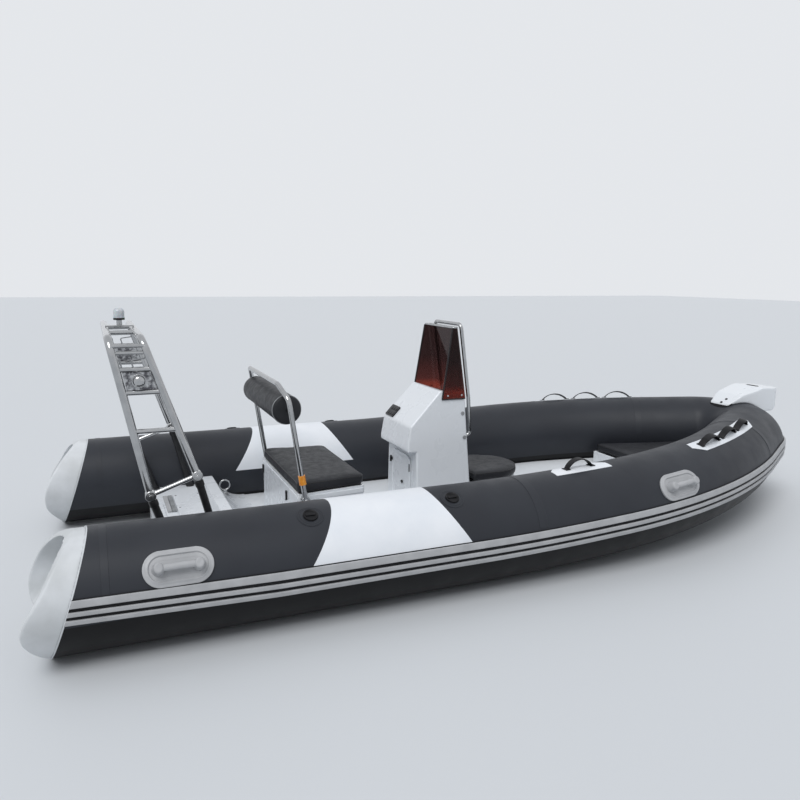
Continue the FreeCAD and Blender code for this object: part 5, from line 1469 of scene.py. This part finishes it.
# %% Front seat
def round_outline(aft, fore, half, depth, steps=22):
    """A straight aft side and a round fore end."""
    radius = (half * half + depth * depth) / (2 * depth)
    reach = math.atan2(half, radius - depth)
    arc = [(fore - radius + radius * math.cos(angle), radius * math.sin(angle))
           for angle in (reach * (2 * step / steps - 1) for step in range(steps + 1))]
    return [(aft, -half), *arc, (aft, half)]


FRONT_TOP = 0.288
box = outlined("front_box", round_outline(2.0355, 2.418, 0.198, 0.178), DECK, FRONT_TOP)
combine(box, outlined("front_inside", round_outline(2.046, 2.408, 0.188, 0.168), DECK - 0.05, FRONT_TOP + 0.05),
        "DIFFERENCE")
finish(box, gel_coat, nodes=["front_seat_box"], angle=30)
cushion = outlined("front_cushion", round_outline(2.051, 2.434, 0.214, 0.196), 0.2945, 0.3445)
rounded(cushion, 0.014, 3, angle=50)
swell(cushion, CROWN, floor=lambda x: 0.2885)
finish(cushion, vinyl, "front_lid", nodes=["front_seat_cushion"], angle=60)
pipe(cushion, "front_piping", [((0, 0, height), (0, 0, 1)) for height in (0.337, 0.296)], PIPING, black_plastic,
     "front_lid")

pad = from_solid("front_backrest_pad", "front_pad")
pad_middle = Vector((2.025, 0, 0.6025))
for vertex in pad.data.vertices:
    vertex.co = pad_middle + (vertex.co - pad_middle) * Vector((0.74, 0.955, 0.955))
rounded(pad, 0.008, 3)
swell(pad, CROWN, voxel=0.005)
finish(pad, vinyl, nodes=["front_backrest_pad"], angle=60)

# %% [markdown]
# ## Bow locker and its cushion
# The locker narrows towards the bow and follows the rising deck, and its cushion lies on its lid.

# %% Bow locker
locker = rounded(from_solid("bow_locker", "bow_box"), 0.004, 3)
finish(locker, gel_coat, nodes=["bow_locker"])


def bow_rest(x):
    """The height of the bow locker's lid."""
    return DECK + 0.0853 + (x - 2.5) * math.tan(math.radians(3))


BOW_INSET = 0.002
outline = [(3.340 + BOW_INSET, -0.345 + BOW_INSET), (3.900 - BOW_INSET, -0.088 + BOW_INSET),
           (3.900 - BOW_INSET, 0.088 - BOW_INSET), (3.340 + BOW_INSET, 0.345 - BOW_INSET)]
cushion = upright(outlined("bow_cushion", outline, 0, 0.049), 0.030, 6)
rounded(cushion, 0.010, 3)
slice_up(cushion, 0.05)
for vertex in cushion.data.vertices:
    vertex.co.z += bow_rest(vertex.co.x) + 0.0065
swell(cushion, CROWN, floor=lambda x: bow_rest(x) + 0.0003)
finish(cushion, vinyl, "bow_lid", nodes=["bow_locker_cushion"], angle=60)
slope = Vector((-math.sin(math.radians(3)), 0, math.cos(math.radians(3))))
pipe(cushion, "bow_piping", [((3.34, 0, bow_rest(3.34) + rise), slope) for rise in (0.050, 0.009)], PIPING,
     black_plastic, "bow_lid")

# %% [markdown]
# ## Bow cap
# The white cap on the nose has soft sides that no bevel gives, because its facets meet at all kinds of angles. A
# fine remesh of the solid, smoothed, melts them together, as filler and sanding would on a plug. A black rubber seal
# shows under its aft edge: the same form again, a little lower and farther aft.

# %% Bow cap
nose_cap = from_solid("bow_cap", "nose_moulding")
melt(nose_cap, MOULDED, 16)
seal = twin(nose_cap, "nose_seal")
seal.data.transform(Matrix.Translation((-0.005, 0, -0.009)))
cut_away(seal, (4.17, 0, 0), (1, 0, 0))
finish(nose_cap, gel_coat, nodes=["bow_cap"], angle=60)
finish(seal, black_rubber, angle=60)


def set_on(name, under, x, y, long, wide, high):
    """A small rounded block on the surface of a piece, straight below a place."""
    hit, place, facing, _ = under.ray_cast((x, y, 2), (0, 0, -1))
    assert hit
    piece = rounded(block(name, (-long / 2, -wide / 2, -0.004), (long / 2, wide / 2, high)), 0.003)
    piece.data.transform(Matrix.Translation(place) @ facing.to_track_quat("Z", "Y").to_matrix().to_4x4())
    print(name, [round(value, 3) for value in place])
    return piece


marks = [set_on("cap_slot", nose_cap, 4.44, -0.012, 0.085, 0.026, 0.004)]
marks += [set_on("cap_latch", nose_cap, x, y, 0.016, 0.014, 0.006) for x, y in ((4.152, -0.012), (4.184, -0.024))]
finish(joined(marks, "cap_fittings"), black_plastic)
